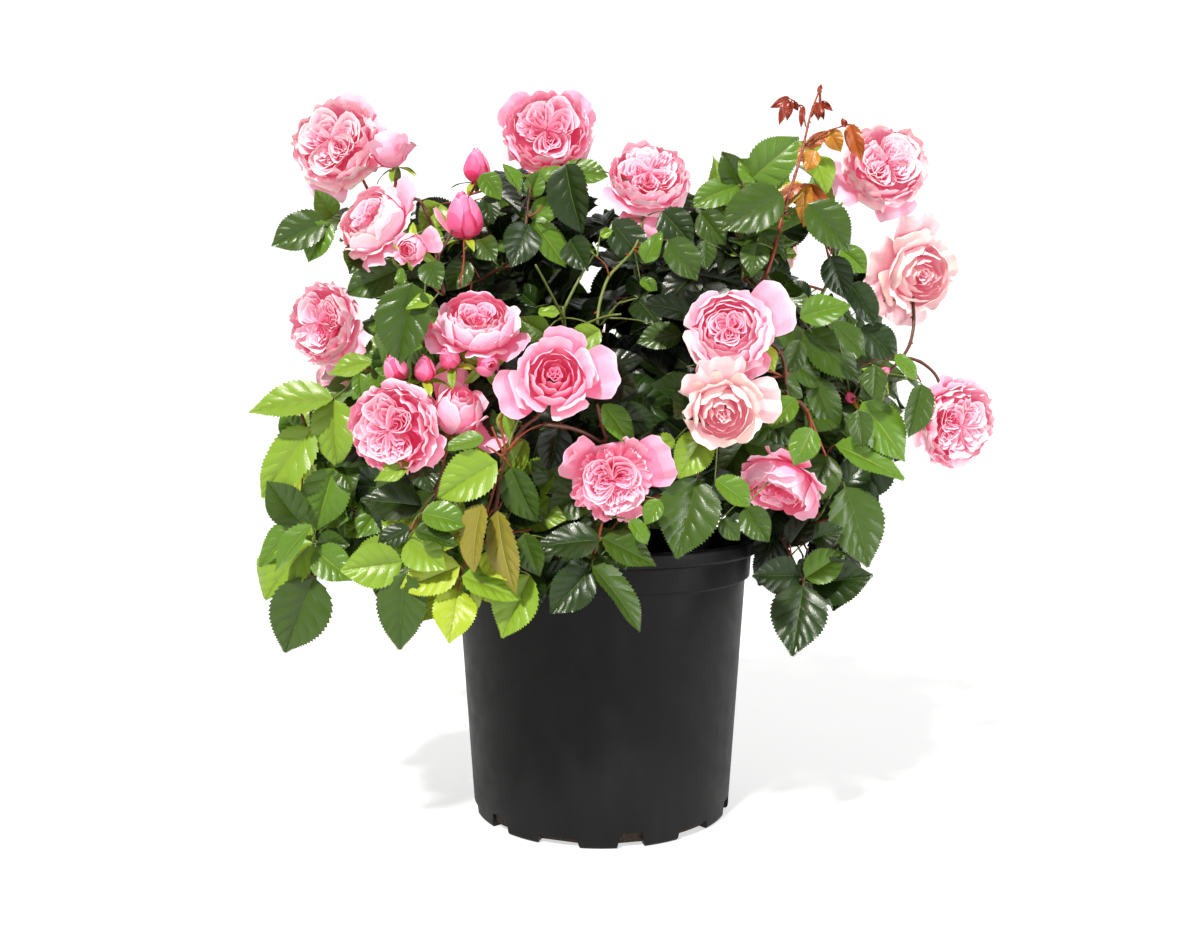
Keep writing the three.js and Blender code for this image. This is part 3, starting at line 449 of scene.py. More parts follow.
# Small deep buds that have only a scene piece: the mass, the middle, the width and where they face
SMALL_BUDS = [
    ("front_left", (-144, -208, 380), 19, -25, 50),
    ("front_left", (-124, -206, 380), 17, 10, 62),
    ("front_left", (-107, -204, 388), 16, -20, 48),
    ("front_left", (-80, -206, 383), 19, 20, -5),
    ("right", (233, -72, 384), 11, 40, 30),
    ("right", (203, -84, 363), 10, -30, 40),
]

# Plain base colours, as sRGB. Leaf tones are dealt out by spray, the darker greens partly as painted
# shade and the lighter ones partly as painted sunlight; petal tones by ring and row.
LEAF_TONES = {
    "shade": "#121d08",
    "deep": "#20350c",
    "mid": "#395213",
    "bright": "#56791d",
    "fresh": "#799829",
    "lime": "#9db030",
    "olive": "#857c2c",
    "bronze": "#a2501f",
    "amber": "#b87a26",
    "gold": "#b39a34",
    "red": "#8a2c14",
    "rib": "#52692c",
    "pale_rib": "#93a24a",
    "red_rib": "#8a3a26",
}
LEAF_TONE_NAMES = list(LEAF_TONES)
RIB_OF = {
    "shade": "mid", "deep": "rib", "mid": "rib",
    "bronze": "red_rib", "amber": "red_rib", "gold": "amber", "red": "red_rib",
}
# Petals from deep pink to nearly white, fresh and past their best
PETAL_TONES = (
    "#b80e38 #d83468 #e15e8e #e67ca6 #e88fb0 #e9a1bb "
    "#ebafc6 #ecbdd1 #eccada #ecd3dd #ecdade #ebddd7"
).split()
OLD_TONES = (
    "#b21a3c #cc4463 #d76a82 #dc869a #e09cac #e4afbb "
    "#e7bdc6 #e9c9cf #ebd3d6 #ecdadb #ecdfda #ece0d6"
).split()
# Sheen and gloss of the petals, and an emission that paints a pink glow on them in place of light shining
# through
PETAL_SHEEN_AND_PAINTED_GLOW = {
    "Sheen Weight": 0.12,
    "Sheen Roughness": 0.4,
    "Specular IOR Level": 0.3,
    "Emission Color": (1, 0.07, 0.18, 1),
    "Emission Strength": 0.145,
}
LEAF_GLOSS = 0.42
POT_GLOSS = 0.15
WOOD_TONES = {"green": "#6d7a36", "red": "#8c3c20", "brown": "#5a2f1c"}
WOOD_TONE_NAMES = list(WOOD_TONES)
OLD_BARK = [(0.3, "#3c2f1f"), (0.5, "#5e4b31"), (0.7, "#7a6a48")]
YOUNG_BARK = [(0.3, "#44502a"), (0.5, "#5f6a35"), (0.72, "#7b4a2c")]

# The camera stands where the photograph's stood, fitted to the pot
CAMERA = {
    "at": (-1.3, -932, 343),
    "down": 0.045,
    "sensor": 36,
    "focal_px": 1036,
    "width_px": 1200,
    "middle_px": (600, 469),
}

# The studio, in metres: its sheets with their corners, how white they are and how much they glow
SHEETS = {
    "floor": ([(-9, -9, 0), (9, -9, 0), (9, 4.5, 0), (-9, 4.5, 0)], 0.4, 0.62),
    "backdrop": ([(-9, 4.5, -0.1), (9, 4.5, -0.1), (9, 4.5, 7), (-9, 4.5, 7)], 0.1, 1.1),
}
SKY_STRENGTH = 0.4
SUN = {"towards": (0.3, 0.6, -0.74), "strength": 4.3, "degrees": 5, "colour": (1, 0.97, 0.9)}
SIDE_LIGHT = {"at": (1.5, -0.9, 0.5), "towards": (0, 0, 0.15), "width": 0.3, "height": 1.2, "watts": 15}


def vec(values):
    return np.array(values, float)


UP = vec((0, 0, 1))


def unit(v):
    return v / np.maximum(np.linalg.norm(v, axis=-1, keepdims=True), 1e-9)


def lerp(a, b, share):
    return a + (b - a) * share


def smooth(value, low, high):
    """0 below low, 1 above high, and an even ease between."""
    share = np.clip((value - low) / (high - low), 0, 1)
    return share * share * (3 - 2 * share)


def linear(hex_colour):
    """An sRGB colour such as #44782a as Blender's linear RGBA."""
    parts = [int(hex_colour[i:i + 2], 16) / 255 for i in (1, 3, 5)]
    return [p / 12.92 if p <= 0.04045 else ((p + 0.055) / 1.055) ** 2.4 for p in parts] + [1]


def walked_shares(points):
    """The length of a way through points, and the share of it walked at each of them."""
    walked = np.cumsum(np.linalg.norm(np.diff(points, axis=0), axis=1))
    return walked[-1], np.concatenate([[0], walked]) / walked[-1]


class Line:
    """The line of a limb: from start to end, drawn towards bow, and read by share of its length."""

    STEPS = np.linspace(0, 1, 201)

    def __init__(self, start, bow, end):
        self.start = vec(start)
        self.bow = vec(bow)
        self.end = vec(end)
        self.length, self.shares = walked_shares(self.point(self.STEPS))

    def point(self, t):
        t = np.asarray(t, float)[..., None]
        return (1 - t) ** 2 * self.start + 2 * (1 - t) * t * self.bow + t * t * self.end

    def at(self, share):
        return self.point(np.interp(share, self.shares, self.STEPS))

    def tangent(self, share):
        t = np.asarray(np.interp(share, self.shares, self.STEPS))[..., None]
        return unit((1 - t) * (self.bow - self.start) + t * (self.end - self.bow))

    def side(self):
        """A direction square to the line all the way along it."""
        flat = np.cross(self.end - self.start, self.bow - self.start)
        if np.linalg.norm(flat) < 1e-3:
            flat = np.cross(self.end - self.start, (0.31, 0.87, 0.11))
        return unit(flat)


class Path:
    """A line through several points with its corners eased, read by share of its length."""

    def __init__(self, points):
        points = vec(points)
        for _ in range(3):
            eased = np.stack([lerp(points[:-1], points[1:], share) for share in (0.25, 0.75)], 1)
            points = np.concatenate([points[:1], eased.reshape(-1, 3), points[-1:]])
        self.points = points
        self.end = points[-1]
        self.length, self.shares = walked_shares(points)

    def at(self, share):
        return np.stack([np.interp(share, self.shares, self.points[:, k]) for k in range(3)], -1)

    def tangent(self, share):
        share = np.asarray(share, float)
        return unit(self.at(np.minimum(share + 0.02, 1)) - self.at(np.maximum(share - 0.02, 0)))

    def side(self):
        return vec((0, 1, 0))


class Heap:
    """The points and triangles of one piece, gathered part by part."""

    def __init__(self):
        self.points = []
        self.faces = []
        self.tones = []
        self.count = 0

    def add(self, points, faces, tones=0):
        """points is n by 3, faces m by 3, and tones one material number or one for each face."""
        self.points.append(np.asarray(points, float).reshape(-1, 3))
        self.faces.append(np.asarray(faces) + self.count)
        self.tones.append(np.broadcast_to(tones, len(faces)))
        self.count += len(self.points[-1])


def capped_faces(rings, sides):
    """The faces of closed rings and of the fans to the two end points that follow them: the fan at
    the first ring, the rings, and the fan at the last."""
    first = np.arange(sides)
    after = (first + 1) % sides
    base = (rings - 1) * sides
    start = np.stack([np.full(sides, rings * sides), after, first], -1)
    end = np.stack([np.full(sides, rings * sides + 1), base + first, base + after], -1)
    return start, grid_faces(rings, sides, closed=True), end


def grid_faces(rows, columns, closed=False):
    """Triangles of a grid of points with that many rows and columns of points."""
    r, c = np.meshgrid(np.arange(rows - 1), np.arange(columns if closed else columns - 1), indexing="ij")
    a = r * columns + c
    b = r * columns + (c + 1) % columns
    quads = np.stack([a, b, b + columns, a + columns], -1).reshape(-1, 4)
    return np.concatenate([quads[:, [0, 1, 2]], quads[:, [0, 2, 3]]])


def place_object(name, data):
    """A new object of the scene that holds a mesh, lamp or camera."""
    thing = bpy.data.objects.new(name, data)
    bpy.context.scene.collection.objects.link(thing)
    return thing


def make_piece(name, heap, materials, slot, *replaced):
    """Turns a heap into a smooth piece in metres that rides with the plant."""
    mesh = bpy.data.meshes.new(name)
    points = np.concatenate(heap.points) * MM
    faces = np.concatenate(heap.faces).astype(np.int32)
    mesh.vertices.add(len(points))
    mesh.vertices.foreach_set("co", points.astype(np.float32).ravel())
    mesh.loops.add(faces.size)
    mesh.loops.foreach_set("vertex_index", faces.ravel())
    mesh.polygons.add(len(faces))
    mesh.polygons.foreach_set("loop_start", np.arange(0, faces.size, 3, dtype=np.int32))
    tones = np.concatenate(heap.tones)
    used = np.unique(tones)
    for tone in used:
        mesh.materials.append(materials[tone])
    mesh.polygons.foreach_set("material_index", np.searchsorted(used, tones).astype(np.int32))
    mesh.update(calc_edges=True)
    mesh.validate()
    mesh.shade_smooth()
    piece = place_object(name, mesh)
    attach(piece, "root")
    if replaced:
        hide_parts(*replaced)
    return piece


# Materials


class Look:
    """A Principled material being wired up, with its texture in the object's own metres."""

    def __init__(self, name, colour, roughness):
        self.material = bpy.data.materials.new(name)
        self.material.use_nodes = True
        tree = self.material.node_tree
        self.nodes = tree.nodes
        self.links = tree.links
        self.shader = self.nodes["Principled BSDF"]
        self.shader.inputs["Base Color"].default_value = linear(colour)
        self.shader.inputs["Roughness"].default_value = roughness
        self.place = self.nodes.new("ShaderNodeTexCoord").outputs["Object"]

    def set(self, values):
        """Sets numbers and colours that are the same all over, by the shader's own sockets."""
        for name, value in values.items():
            self.shader.inputs[name].default_value = value

    def noise(self, scale, detail=3, stretch=None):
        """A noise of so many bumps a metre, stretched along an axis if asked."""
        node = self.nodes.new("ShaderNodeTexNoise")
        node.inputs["Scale"].default_value = scale
        node.inputs["Detail"].default_value = detail
        source = self.place
        if stretch:
            mapping = self.nodes.new("ShaderNodeMapping")
            mapping.inputs["Scale"].default_value = stretch
            self.links.new(self.place, mapping.inputs["Vector"])
            source = mapping.outputs["Vector"]
        self.links.new(source, node.inputs["Vector"])
        return node.outputs["Fac"]

    def cells(self, scale):
        """The distance from the middle of cells, so many a metre."""
        node = self.nodes.new("ShaderNodeTexVoronoi")
        node.inputs["Scale"].default_value = scale
        self.links.new(self.place, node.inputs["Vector"])
        return node.outputs["Distance"]

    def ramp(self, value, stops):
        """Colours along a value, as (position, colour) stops."""
        node = self.nodes.new("ShaderNodeValToRGB")
        ramp = node.color_ramp
        while len(ramp.elements) < len(stops):
            ramp.elements.new(0.5)
        for element, (position, colour) in zip(ramp.elements, stops):
            element.position = position
            element.color = linear(colour)
        self.links.new(value, node.inputs["Fac"])
        return node.outputs["Color"]

    def span(self, value, low, high):
        """The value's middle stretch mapped to low and high."""
        node = self.nodes.new("ShaderNodeMapRange")
        node.inputs["From Min"].default_value = 0.3
        node.inputs["From Max"].default_value = 0.7
        node.inputs["To Min"].default_value = low
        node.inputs["To Max"].default_value = high
        self.links.new(value, node.inputs["Value"])
        return node.outputs["Result"]

    def paint(self, colour):
        self.links.new(colour, self.shader.inputs["Base Color"])

    def rough(self, value):
        self.links.new(value, self.shader.inputs["Roughness"])

    def bump(self, height, depth, strength):
        """Relief of a depth in metres, on top of any relief that is there."""
        node = self.nodes.new("ShaderNodeBump")
        node.inputs["Strength"].default_value = strength
        node.inputs["Distance"].default_value = depth
        self.links.new(height, node.inputs["Height"])
        before = self.shader.inputs["Normal"].links
        if before:
            self.links.new(before[0].from_socket, node.inputs["Normal"])
        self.links.new(node.outputs["Normal"], self.shader.inputs["Normal"])


def leaf_look(name, colour):
    """A glossy leaf: a plain colour under a skin that is quilted between its finest veins."""
    look = Look(name, colour, 0.36)
    look.set({"Specular IOR Level": LEAF_GLOSS})
    look.rough(look.span(look.noise(90), 0.26, 0.42))
    look.bump(look.cells(900), 0.0003, 0.25)
    return look.material


def petal_look(name, colour):
    """A velvety petal with faint creases, and a faint pink glow painted in by emission in place of light
    shining through it.
    """
    look = Look(name, colour, 0.5)
    look.set(PETAL_SHEEN_AND_PAINTED_GLOW)
    look.rough(look.span(look.noise(240), 0.42, 0.62))
    look.bump(look.noise(420, 4), 0.0004, 0.5)
    return look.material


def twig_look(name, colour):
    """The skin of a young twig, faintly ribbed and glossy."""
    look = Look(name, colour, 0.42)
    look.rough(look.span(look.noise(300), 0.34, 0.58))
    look.bump(look.noise(900), 0.0003, 0.6)
    return look.material


def bark_look(name, stops, grain):
    """Bark: mottled colour, pale pores, and fissures that run up the limb."""
    look = Look(name, stops[0][1], 0.8)
    mottle = look.noise(grain, 6, (1, 1, 0.3))
    look.paint(look.ramp(mottle, stops))
    look.rough(look.span(look.noise(grain * 2), 0.55, 0.85))
    look.bump(look.noise(grain * 5, 8, (1, 1, 0.22)), 0.0012, 0.8)
    look.bump(look.cells(grain * 4), 0.0005, 0.4)
    return look.material


def pot_look():
    """Black moulded plastic: satin, faintly dimpled, with a little dust and scuffing."""
    look = Look("pot_black_plastic", "#0d0d0e", 0.4)
    look.set({"Specular IOR Level": POT_GLOSS})
    dust = look.noise(26, 8, (1, 1, 0.35))
    look.paint(look.ramp(dust, [(0.35, "#101011"), (0.62, "#161617"), (0.85, "#1e1e1e")]))
    look.rough(look.span(look.noise(70, 6), 0.46, 0.56))
    look.bump(look.noise(1100, 3), 0.00012, 0.4)
    return look.material


def soil_look(name, stops):
    """Potting mix: crumbs of peat and bark fines."""
    look = Look(name, stops[0][1], 0.95)
    look.paint(look.ramp(look.noise(420, 8), stops))
    look.rough(look.span(look.noise(500), 0.85, 0.98))
    look.bump(look.noise(700, 6), 0.003, 0.9)
    return look.material


# The pot and what fills it


def lathe(profile, sides):
    """Points and faces of a profile of (radius, height) turned about Z, with its ends on the axis."""
    profile = vec(profile)
    angle = 2 * math.pi * np.arange(sides) / sides
    ring = np.stack([np.cos(angle), np.sin(angle)], -1)
    inner = profile[1:-1]
    flat = (inner[:, None, :1] * ring).reshape(-1, 2)
    height = np.repeat(inner[:, 1], sides)[:, None]
    ends = [[0, 0, profile[0, 1]], [0, 0, profile[-1, 1]]]
    points = np.concatenate([np.hstack([flat, height]), ends])
    return points, np.concatenate(capped_faces(len(inner), sides))


def arc(centre, radius, start, end, steps):
    """Points of an arc in a profile, from one angle to another in degrees."""
    angle = np.radians(np.linspace(start, end, steps + 1))
    return [(centre[0] + radius * math.cos(a), centre[1] + radius * math.sin(a)) for a in angle]


def pot_profile():
    """The pot's wall from the middle of its underside, up the outside, over the lip and back in."""
    rim, lip_bottom, height = POT["rim"], POT["lip_bottom"], POT["height"]
    collar, foot, top = POT["collar"], POT["foot"], POT["top"]
    collar_bottom, wall, floor = POT["collar_bottom"], POT["wall"], POT["floor"]
    body = [(lerp(foot, top, s), lerp(5, collar_bottom - 1, s)) for s in np.linspace(0, 1, 14)]
    inside = [(lerp(top, foot, s) - wall, lerp(collar_bottom, floor + 2, s)) for s in np.linspace(0, 1, 6)]
    return [
        (0, 0),
        (foot - 12, 0),
        (foot - 4, 0),
        *arc((foot - 3.2, 3.2), 3.2, -90, 0, 4),
        *body,
        *arc((top + 2.2, collar_bottom + 0.6), 2.2, 180, 100, 3),
        (collar - 0.3, collar_bottom + 3.4),
        (collar + 0.9, lip_bottom - 1.6),
        *arc((rim - 2.6, lip_bottom + 2.4), 2.4, -90, 0, 4),
        *arc((rim - 2.8, height - 2.8), 2.8, 0, 90, 5),
        *arc((rim - POT["lip_width"] + 2, height - 2), 2, 90, 180, 4),
        (collar - wall, collar_bottom + 4),
        *inside,
        (foot - wall - 3, floor),
        (0, floor),
    ]


def hole_cutters():
    """The trapezia that cut the drain notches through the pot's bottom corner, as one mesh."""
    heap = Heap()
    for hole in (SIDE_HOLE, LOW_HOLE):
        foot = hole["foot"] / 2
        top = hole["top"] / 2
        for k in range(HOLES_OF_A_KIND):
            angle = math.radians(hole["first"] + 360 / HOLES_OF_A_KIND * k)
            out = vec((math.sin(angle), -math.cos(angle), 0))
            side = vec((math.cos(angle), math.sin(angle), 0))
            corners = []
            for radius in (POT["foot"] - HOLE_DEPTH / 2, POT["foot"] + HOLE_DEPTH / 2):
                for x, z in ((-foot, -2), (foot, -2), (top, hole["height"]), (-top, hole["height"])):
                    corners.append(out * radius + side * x + UP * z)
            heap.add(corners, BOX_FACES)
    return heap


BOX_FACES = np.array([
    (0, 2, 1), (0, 3, 2), (4, 5, 6), (4, 6, 7), (0, 1, 5), (0, 5, 4), (1, 2, 6), (1, 6, 5), (2, 3, 7),
    (2, 7, 6), (3, 0, 4), (3, 4, 7),
])


def bare_object(name, heap):
    """An object that only serves to cut another."""
    mesh = bpy.data.meshes.new(name)
    points = np.concatenate(heap.points) * MM
    mesh.from_pydata(points.tolist(), [], np.concatenate(heap.faces).tolist())
    mesh.update()
    return place_object(name, mesh)


def build_pot():
    heap = Heap()
    heap.add(*lathe(pot_profile(), POT["sides"]))
    pot = make_piece("nursery_pot", heap, [pot_look()], "pot_plastic", "pot")
    cutter = bare_object("drain_notches", hole_cutters())
    cut = pot.modifiers.new("drain_notches", "BOOLEAN")
    cut.operation = "DIFFERENCE"
    cut.solver = "EXACT"
    cut.object = cutter
    bpy.context.view_layer.update()
    whole = bpy.data.meshes.new_from_object(pot.evaluated_get(bpy.context.evaluated_depsgraph_get()))
    pot.modifiers.clear()
    pot.data = whole
    whole.shade_smooth()
    whole.set_sharp_from_angle(angle=math.radians(38))
    bpy.data.objects.remove(cutter)


def soil_height(share):
    """The height of the potting mix, by share of the way from the wall to the middle."""
    return SOIL["edge"] + (SOIL["top"] - SOIL["edge"]) * smooth(share, 0, 0.7)


def build_soil():
    """The potting mix with an uneven top, and the bark chips and grit that lie in it."""
    random = np.random.default_rng(SEEDS["soil"])
    gap = POT["wall"] + SOIL["gap"]
    edge = POT["top"] - gap
    steps = np.linspace(0, 1, 34)
    top = [(edge * (1 - s), soil_height(s)) for s in steps]
    low = POT["floor"] + 0.3
    profile = [(0, low), (POT["foot"] - gap, low), (edge, POT["collar_bottom"]), *top]
    points, faces = lathe(profile, 120)
    crumbs = (np.hypot(points[:, 0], points[:, 1]) < edge - 1) & (points[:, 2] > POT["collar_bottom"])
    points[crumbs, 2] += random.normal(0, 0.9, crumbs.sum())
    heap = Heap()
    heap.add(points, faces, 0)
    for _ in range(CHIPS["count"]):
        distance = (edge - 6) * math.sqrt(random.random())
        angle = random.uniform(0, 2 * math.pi)
        height = soil_height(1 - distance / edge) + 0.8
        at = vec((distance * math.cos(angle), distance * math.sin(angle), height))
        grit = random.random() < CHIPS["grit"]
        length = random.uniform(*CHIPS["grit_length" if grit else "length"])
        size = vec((length, length * random.uniform(0.3, 0.6), length * random.uniform(0.14, 0.3)))
        if grit:
            size = vec((length, length, length * 0.8))
        heap.add(at + chip_corners(size, random), BOX_FACES, 2 if grit else 1)
    looks = [
        soil_look("potting_mix", [(0.3, "#1d140e"), (0.55, "#35251a"), (0.8, "#4d3a2a")]),
        soil_look("bark_chips", [(0.3, "#2e1e14"), (0.55, "#553824"), (0.8, "#7a5a3c")]),
        soil_look("grit", [(0.3, "#b9b4a8"), (0.7, "#e4e0d6")]),
    ]
    make_piece("potting_mix_top", heap, looks, "potting_mix", "soil")


def chip_corners(size, random):
    """Eight jittered corners of a chip, turned at random and lying almost flat."""
    corners = vec([(x, y, z) for z in (-1, 1) for x, y in ((-1, -1), (1, -1), (1, 1), (-1, 1))]) / 2
    corners = corners * (1 + random.uniform(-0.35, 0.25, corners.shape)) * size
    turn = random.uniform(0, 2 * math.pi)
    tilt = random.normal(0, 0.25)
    x = corners[:, 0] * math.cos(tilt) - corners[:, 2] * math.sin(tilt)
    z = corners[:, 0] * math.sin(tilt) + corners[:, 2] * math.cos(tilt)
    y = corners[:, 1]
    ahead = x * math.cos(turn) - y * math.sin(turn)
    aside = x * math.sin(turn) + y * math.cos(turn)
    return np.stack([ahead, aside, z], -1)


# Wood


def tube(heap, centres, along, side, radii, tone=0):
    """A closed tube through centres, with a radius for each ring and side."""
    rings, sides = radii.shape
    angle = 2 * math.pi * np.arange(sides) / sides
    other = np.cross(along, side)
    ring = np.cos(angle)[None, :, None] * other[:, None, :] + np.sin(angle)[None, :, None] * side
    points = centres[:, None, :] + ring * radii[:, :, None]
    ends = np.stack([centres[0], centres[-1] + along[-1] * radii[-1].mean() * 0.5])
    start, faces, end = capped_faces(rings, sides)
    heap.add(np.concatenate([points.reshape(-1, 3), ends]), np.concatenate([faces, start, end]), tone)


def bark_relief(shares, length, size, random):
    """How far bark stands out, as a share of the radius: ribs, swollen nodes and roughness."""
    angle = 2 * math.pi * np.arange(size["sides"]) / size["sides"]
    twist = random.uniform(1, 2.5)
    phase = random.uniform(0, 6)
    ribs = np.cos(4 * angle[None, :] + twist * shares[:, None] + phase)
    ribs = ribs + 0.6 * np.cos(7 * angle[None, :] - 2 * twist * shares[:, None])
    relief = size["depth"] * (ribs + random.normal(0, 0.55, ribs.shape))
    walked = shares * length
    for k in range(int(length / size["nodes"])):
        place = (k + 0.7) * size["nodes"]
        facing = 2.4 * k + phase
        bud = np.exp(-(((walked - place) / 2.6) ** 2))[:, None]
        relief = relief + bud * (0.1 + 0.28 * np.maximum(0, np.cos(angle - facing))[None, :] ** 3)
    return relief


def limb(heap, line, size, random, tone=0):
    """A tapering limb along a line, with the relief of its bark."""
    rings = max(3, int(line.length / size["step"]) + 1)
    shares = np.linspace(0, 1, rings)
    radius = lerp(size["foot"], size["tip"], shares)[:, None]
    relief = bark_relief(shares, line.length, size, random)
    tube(heap, line.at(shares), line.tangent(shares), line.side(), radius * (1 + relief), tone)


def thorns(heap, line, size, random, tone, spacing=THORN["spacing"], first=0.1, last=0.9):
    """Hooked thorns round a limb, every so far along it."""
    count = int(line.length * (last - first) / spacing)
    for k in range(count):
        share = first + (last - first) * (k + random.uniform(0.2, 0.8)) / max(1, count)
        along = line.tangent(share)
        side = line.side()
        turn = random.uniform(0, 2 * math.pi)
        out = math.cos(turn) * np.cross(along, side) + math.sin(turn) * side
        radius = lerp(size["foot"], size["tip"], share)
        length = THORN["length"] * random.uniform(0.6, 1.1) * min(1, 0.55 + radius / 6)
        root = line.at(share) + out * radius * 0.75
        thorn(heap, root, out, along, length, tone)


def thorn(heap, root, out, along, length, tone):
    across = np.cross(out, along)
    width = THORN["width"] * length / THORN["length"]
    sides = THORN["sides"]
    points = []
    for share, wide in ((0, 1), (0.4, 0.5)):
        centre = root + out * length * share - along * length * 0.25 * share
        for k in range(sides):
            angle = 2 * math.pi * k / sides
            foot = centre + along * math.cos(angle) * width * wide * 1.3
            points.append(foot + across * math.sin(angle) * width * 0.6 * wide)
    points.append(root + out * length - along * length * 0.55)
    faces = []
    for k in range(sides):
        after = (k + 1) % sides
        faces += [(k, after, after + sides), (k, after + sides, k + sides)]
        faces += [(k + sides, after + sides, 2 * sides)]
    heap.add(points, faces, tone)


def thin_stalk(heap, line, foot, tip, red):
    """A leaf stalk along a line, red or green."""
    shares = np.linspace(0, 1, 6)
    radii = np.repeat(lerp(foot, tip, shares)[:, None], 4, axis=1)
    tube(heap, line.at(shares), line.tangent(shares), line.side(), radii, wood_tone(red))


def wood_tone(red):
    """The material number of young wood, red or green."""
    return WOOD_TONE_NAMES.index("red" if red else "green")


def cane_line(angle, tip, order):
    out = vec((math.cos(math.radians(angle)), math.sin(math.radians(angle)), 0))
    foot = out * CANE_FOOT["ring"]
    foot[2] = SOIL["top"] + CANE_FOOT["height"] * STEM["height"] + CANE_FOOT["tier"] * (order % 2)
    end = vec(tip)
    middle = foot + out * 0.34 * np.linalg.norm(end - foot)
    middle[2] += 0.62 * (end[2] - foot[2])
    return Line(foot, middle, end)


def bough_line(mass, cane):
    centre = vec(mass["at"])
    foot = cane.at(mass["fork"]) if cane else vec((0, 0, SOIL["top"] + HEART_BOUGH_HEIGHT))
    along = cane.tangent(mass["fork"]) if cane else UP
    span = np.linalg.norm(centre - foot)
    end = lerp(centre, foot, min(0.6, 0.5 * mass["radius"] / span))
    middle = lerp(foot + along * 0.28 * span, lerp(foot, end, 0.5), 0.45)
    return Line(foot, middle, end)


def build_stem(look):
    """The short knobbly stem that all canes spring from."""
    random = np.random.default_rng(SEEDS["stem"])
    neck, knob = STEM["neck"], STEM["knob"]
    outline = [
        (0, STEM["flare"]), (0.12, neck + 2.5), (0.4, neck), (0.6, knob - 1), (0.78, knob),
        (0.94, neck), (1, STEM["tip"]),
    ]
    shares = np.linspace(0, 1, STEM["rings"])
    radius = np.interp(shares, *zip(*outline))
    angle = 2 * math.pi * np.arange(STEM["sides"]) / STEM["sides"]
    bumps = 0.09 * np.cos(3 * angle + 9 * shares[:, None]) + 0.06 * np.cos(8 * angle - 14 * shares[:, None])
    relief = bumps * np.sin(math.pi * np.minimum(1, shares * 1.1 + 0.1))[:, None]
    relief = relief + random.normal(0, 0.022, relief.shape)
    centres = vec([(0, 0, SOIL["top"] + CLEAR + s * STEM["height"]) for s in shares])
    along = np.repeat(UP[None, :], len(shares), axis=0)
    heap = Heap()
    tube(heap, centres, along, vec((0, 1, 0)), radius[:, None] * (1 + relief))
    make_piece("stem_bark", heap, [look], "old_bark", "stem")


# Leaves


def blade_pattern():
    """One leaflet as a net: for each point its place along (u) and across (v), how far it lies on
    a vein (-1) or between (1), and how far a tooth carries it out; then the faces, and which are
    the rib. Each panel between two side veins has points of its own, so a vein is a crease."""
    points = []
    faces = []
    ribs = []
    rows = 2 * LEAFLET["panels"]
    for side in (-1, 1):
        for panel in range(LEAFLET["panels"]):
            net = {}
            for row in range(3):
                along = (2 * panel + row) / rows
                for column, spot in enumerate(row_spots(along, row == 1, side)):
                    net[row, column] = len(points)
                    points.append(spot)
            for row in range(2):
                first = [net[row, column] for column in range(4)]
                after = [net[row + 1, column] for column in range(4)]
                edge = toothed_edge(points, first[3], after[3], side)
                strip = [
                    (first[0], first[1], after[1]), (first[0], after[1], after[0]),
                    (first[1], first[2], after[2]), (first[1], after[2], after[1]),
                    (first[2], edge[2], after[2]), (first[2], edge[0], edge[2]),
                    (after[2], edge[2], edge[4]), (edge[0], edge[1], edge[2]), (edge[2], edge[3], edge[4]),
                ]
                for order, face in enumerate(strip):
                    places = {points[k][:3] for k in face}
                    if len(places) == 3:
                        faces.append(face[::-1] if side > 0 else face)
                        ribs.append(order < 2)
    return np.array(points), np.array(faces), np.array(ribs)


def row_spots(along, between, side):
    """The four points of a row: on the rib, at its edge, halfway out and at the margin."""
    ridge = 1 if between else -1
    sweep = LEAFLET["sweep"] * math.sin(math.pi * along ** 0.8)
    if along in (0, 1):
        return [(along, 0.0, 0.0, 0.0)] * 4
    return [
        (along, 0.0, -0.5, 0.0),
        (along, side * LEAFLET["rib"], 0.0, 0.0),
        (along + 0.5 * sweep, side * 0.52, ridge * 1.0, 0.0),
        (along + sweep, side * 1.0, ridge * 0.4, 0.0),
    ]


def toothed_edge(points, start, end, side):
    """Adds the two teeth between two points of a leaflet's margin, and gives the five points along
    it: the start, a tooth, the notch, a tooth and the end."""
    first = points[start][0]
    last = points[end][0]
    edge = [start]
    for share, tooth in ((0.42, 1.0), (0.5, 0.0), (0.92, 1.0)):
        edge.append(len(points))
        points.append((lerp(first, last, share), side * 1.0, 0.0, side * tooth))
    return edge + [end]


def outline_at(u):
    """Half the width of a leaflet along its length, for a width of 1."""
    places, widths = zip(*LEAFLET_OUTLINE)
    return 0.5 * np.interp(u, places, widths)


BLADE_POINTS, BLADE_FACES, BLADE_RIBS = blade_pattern()


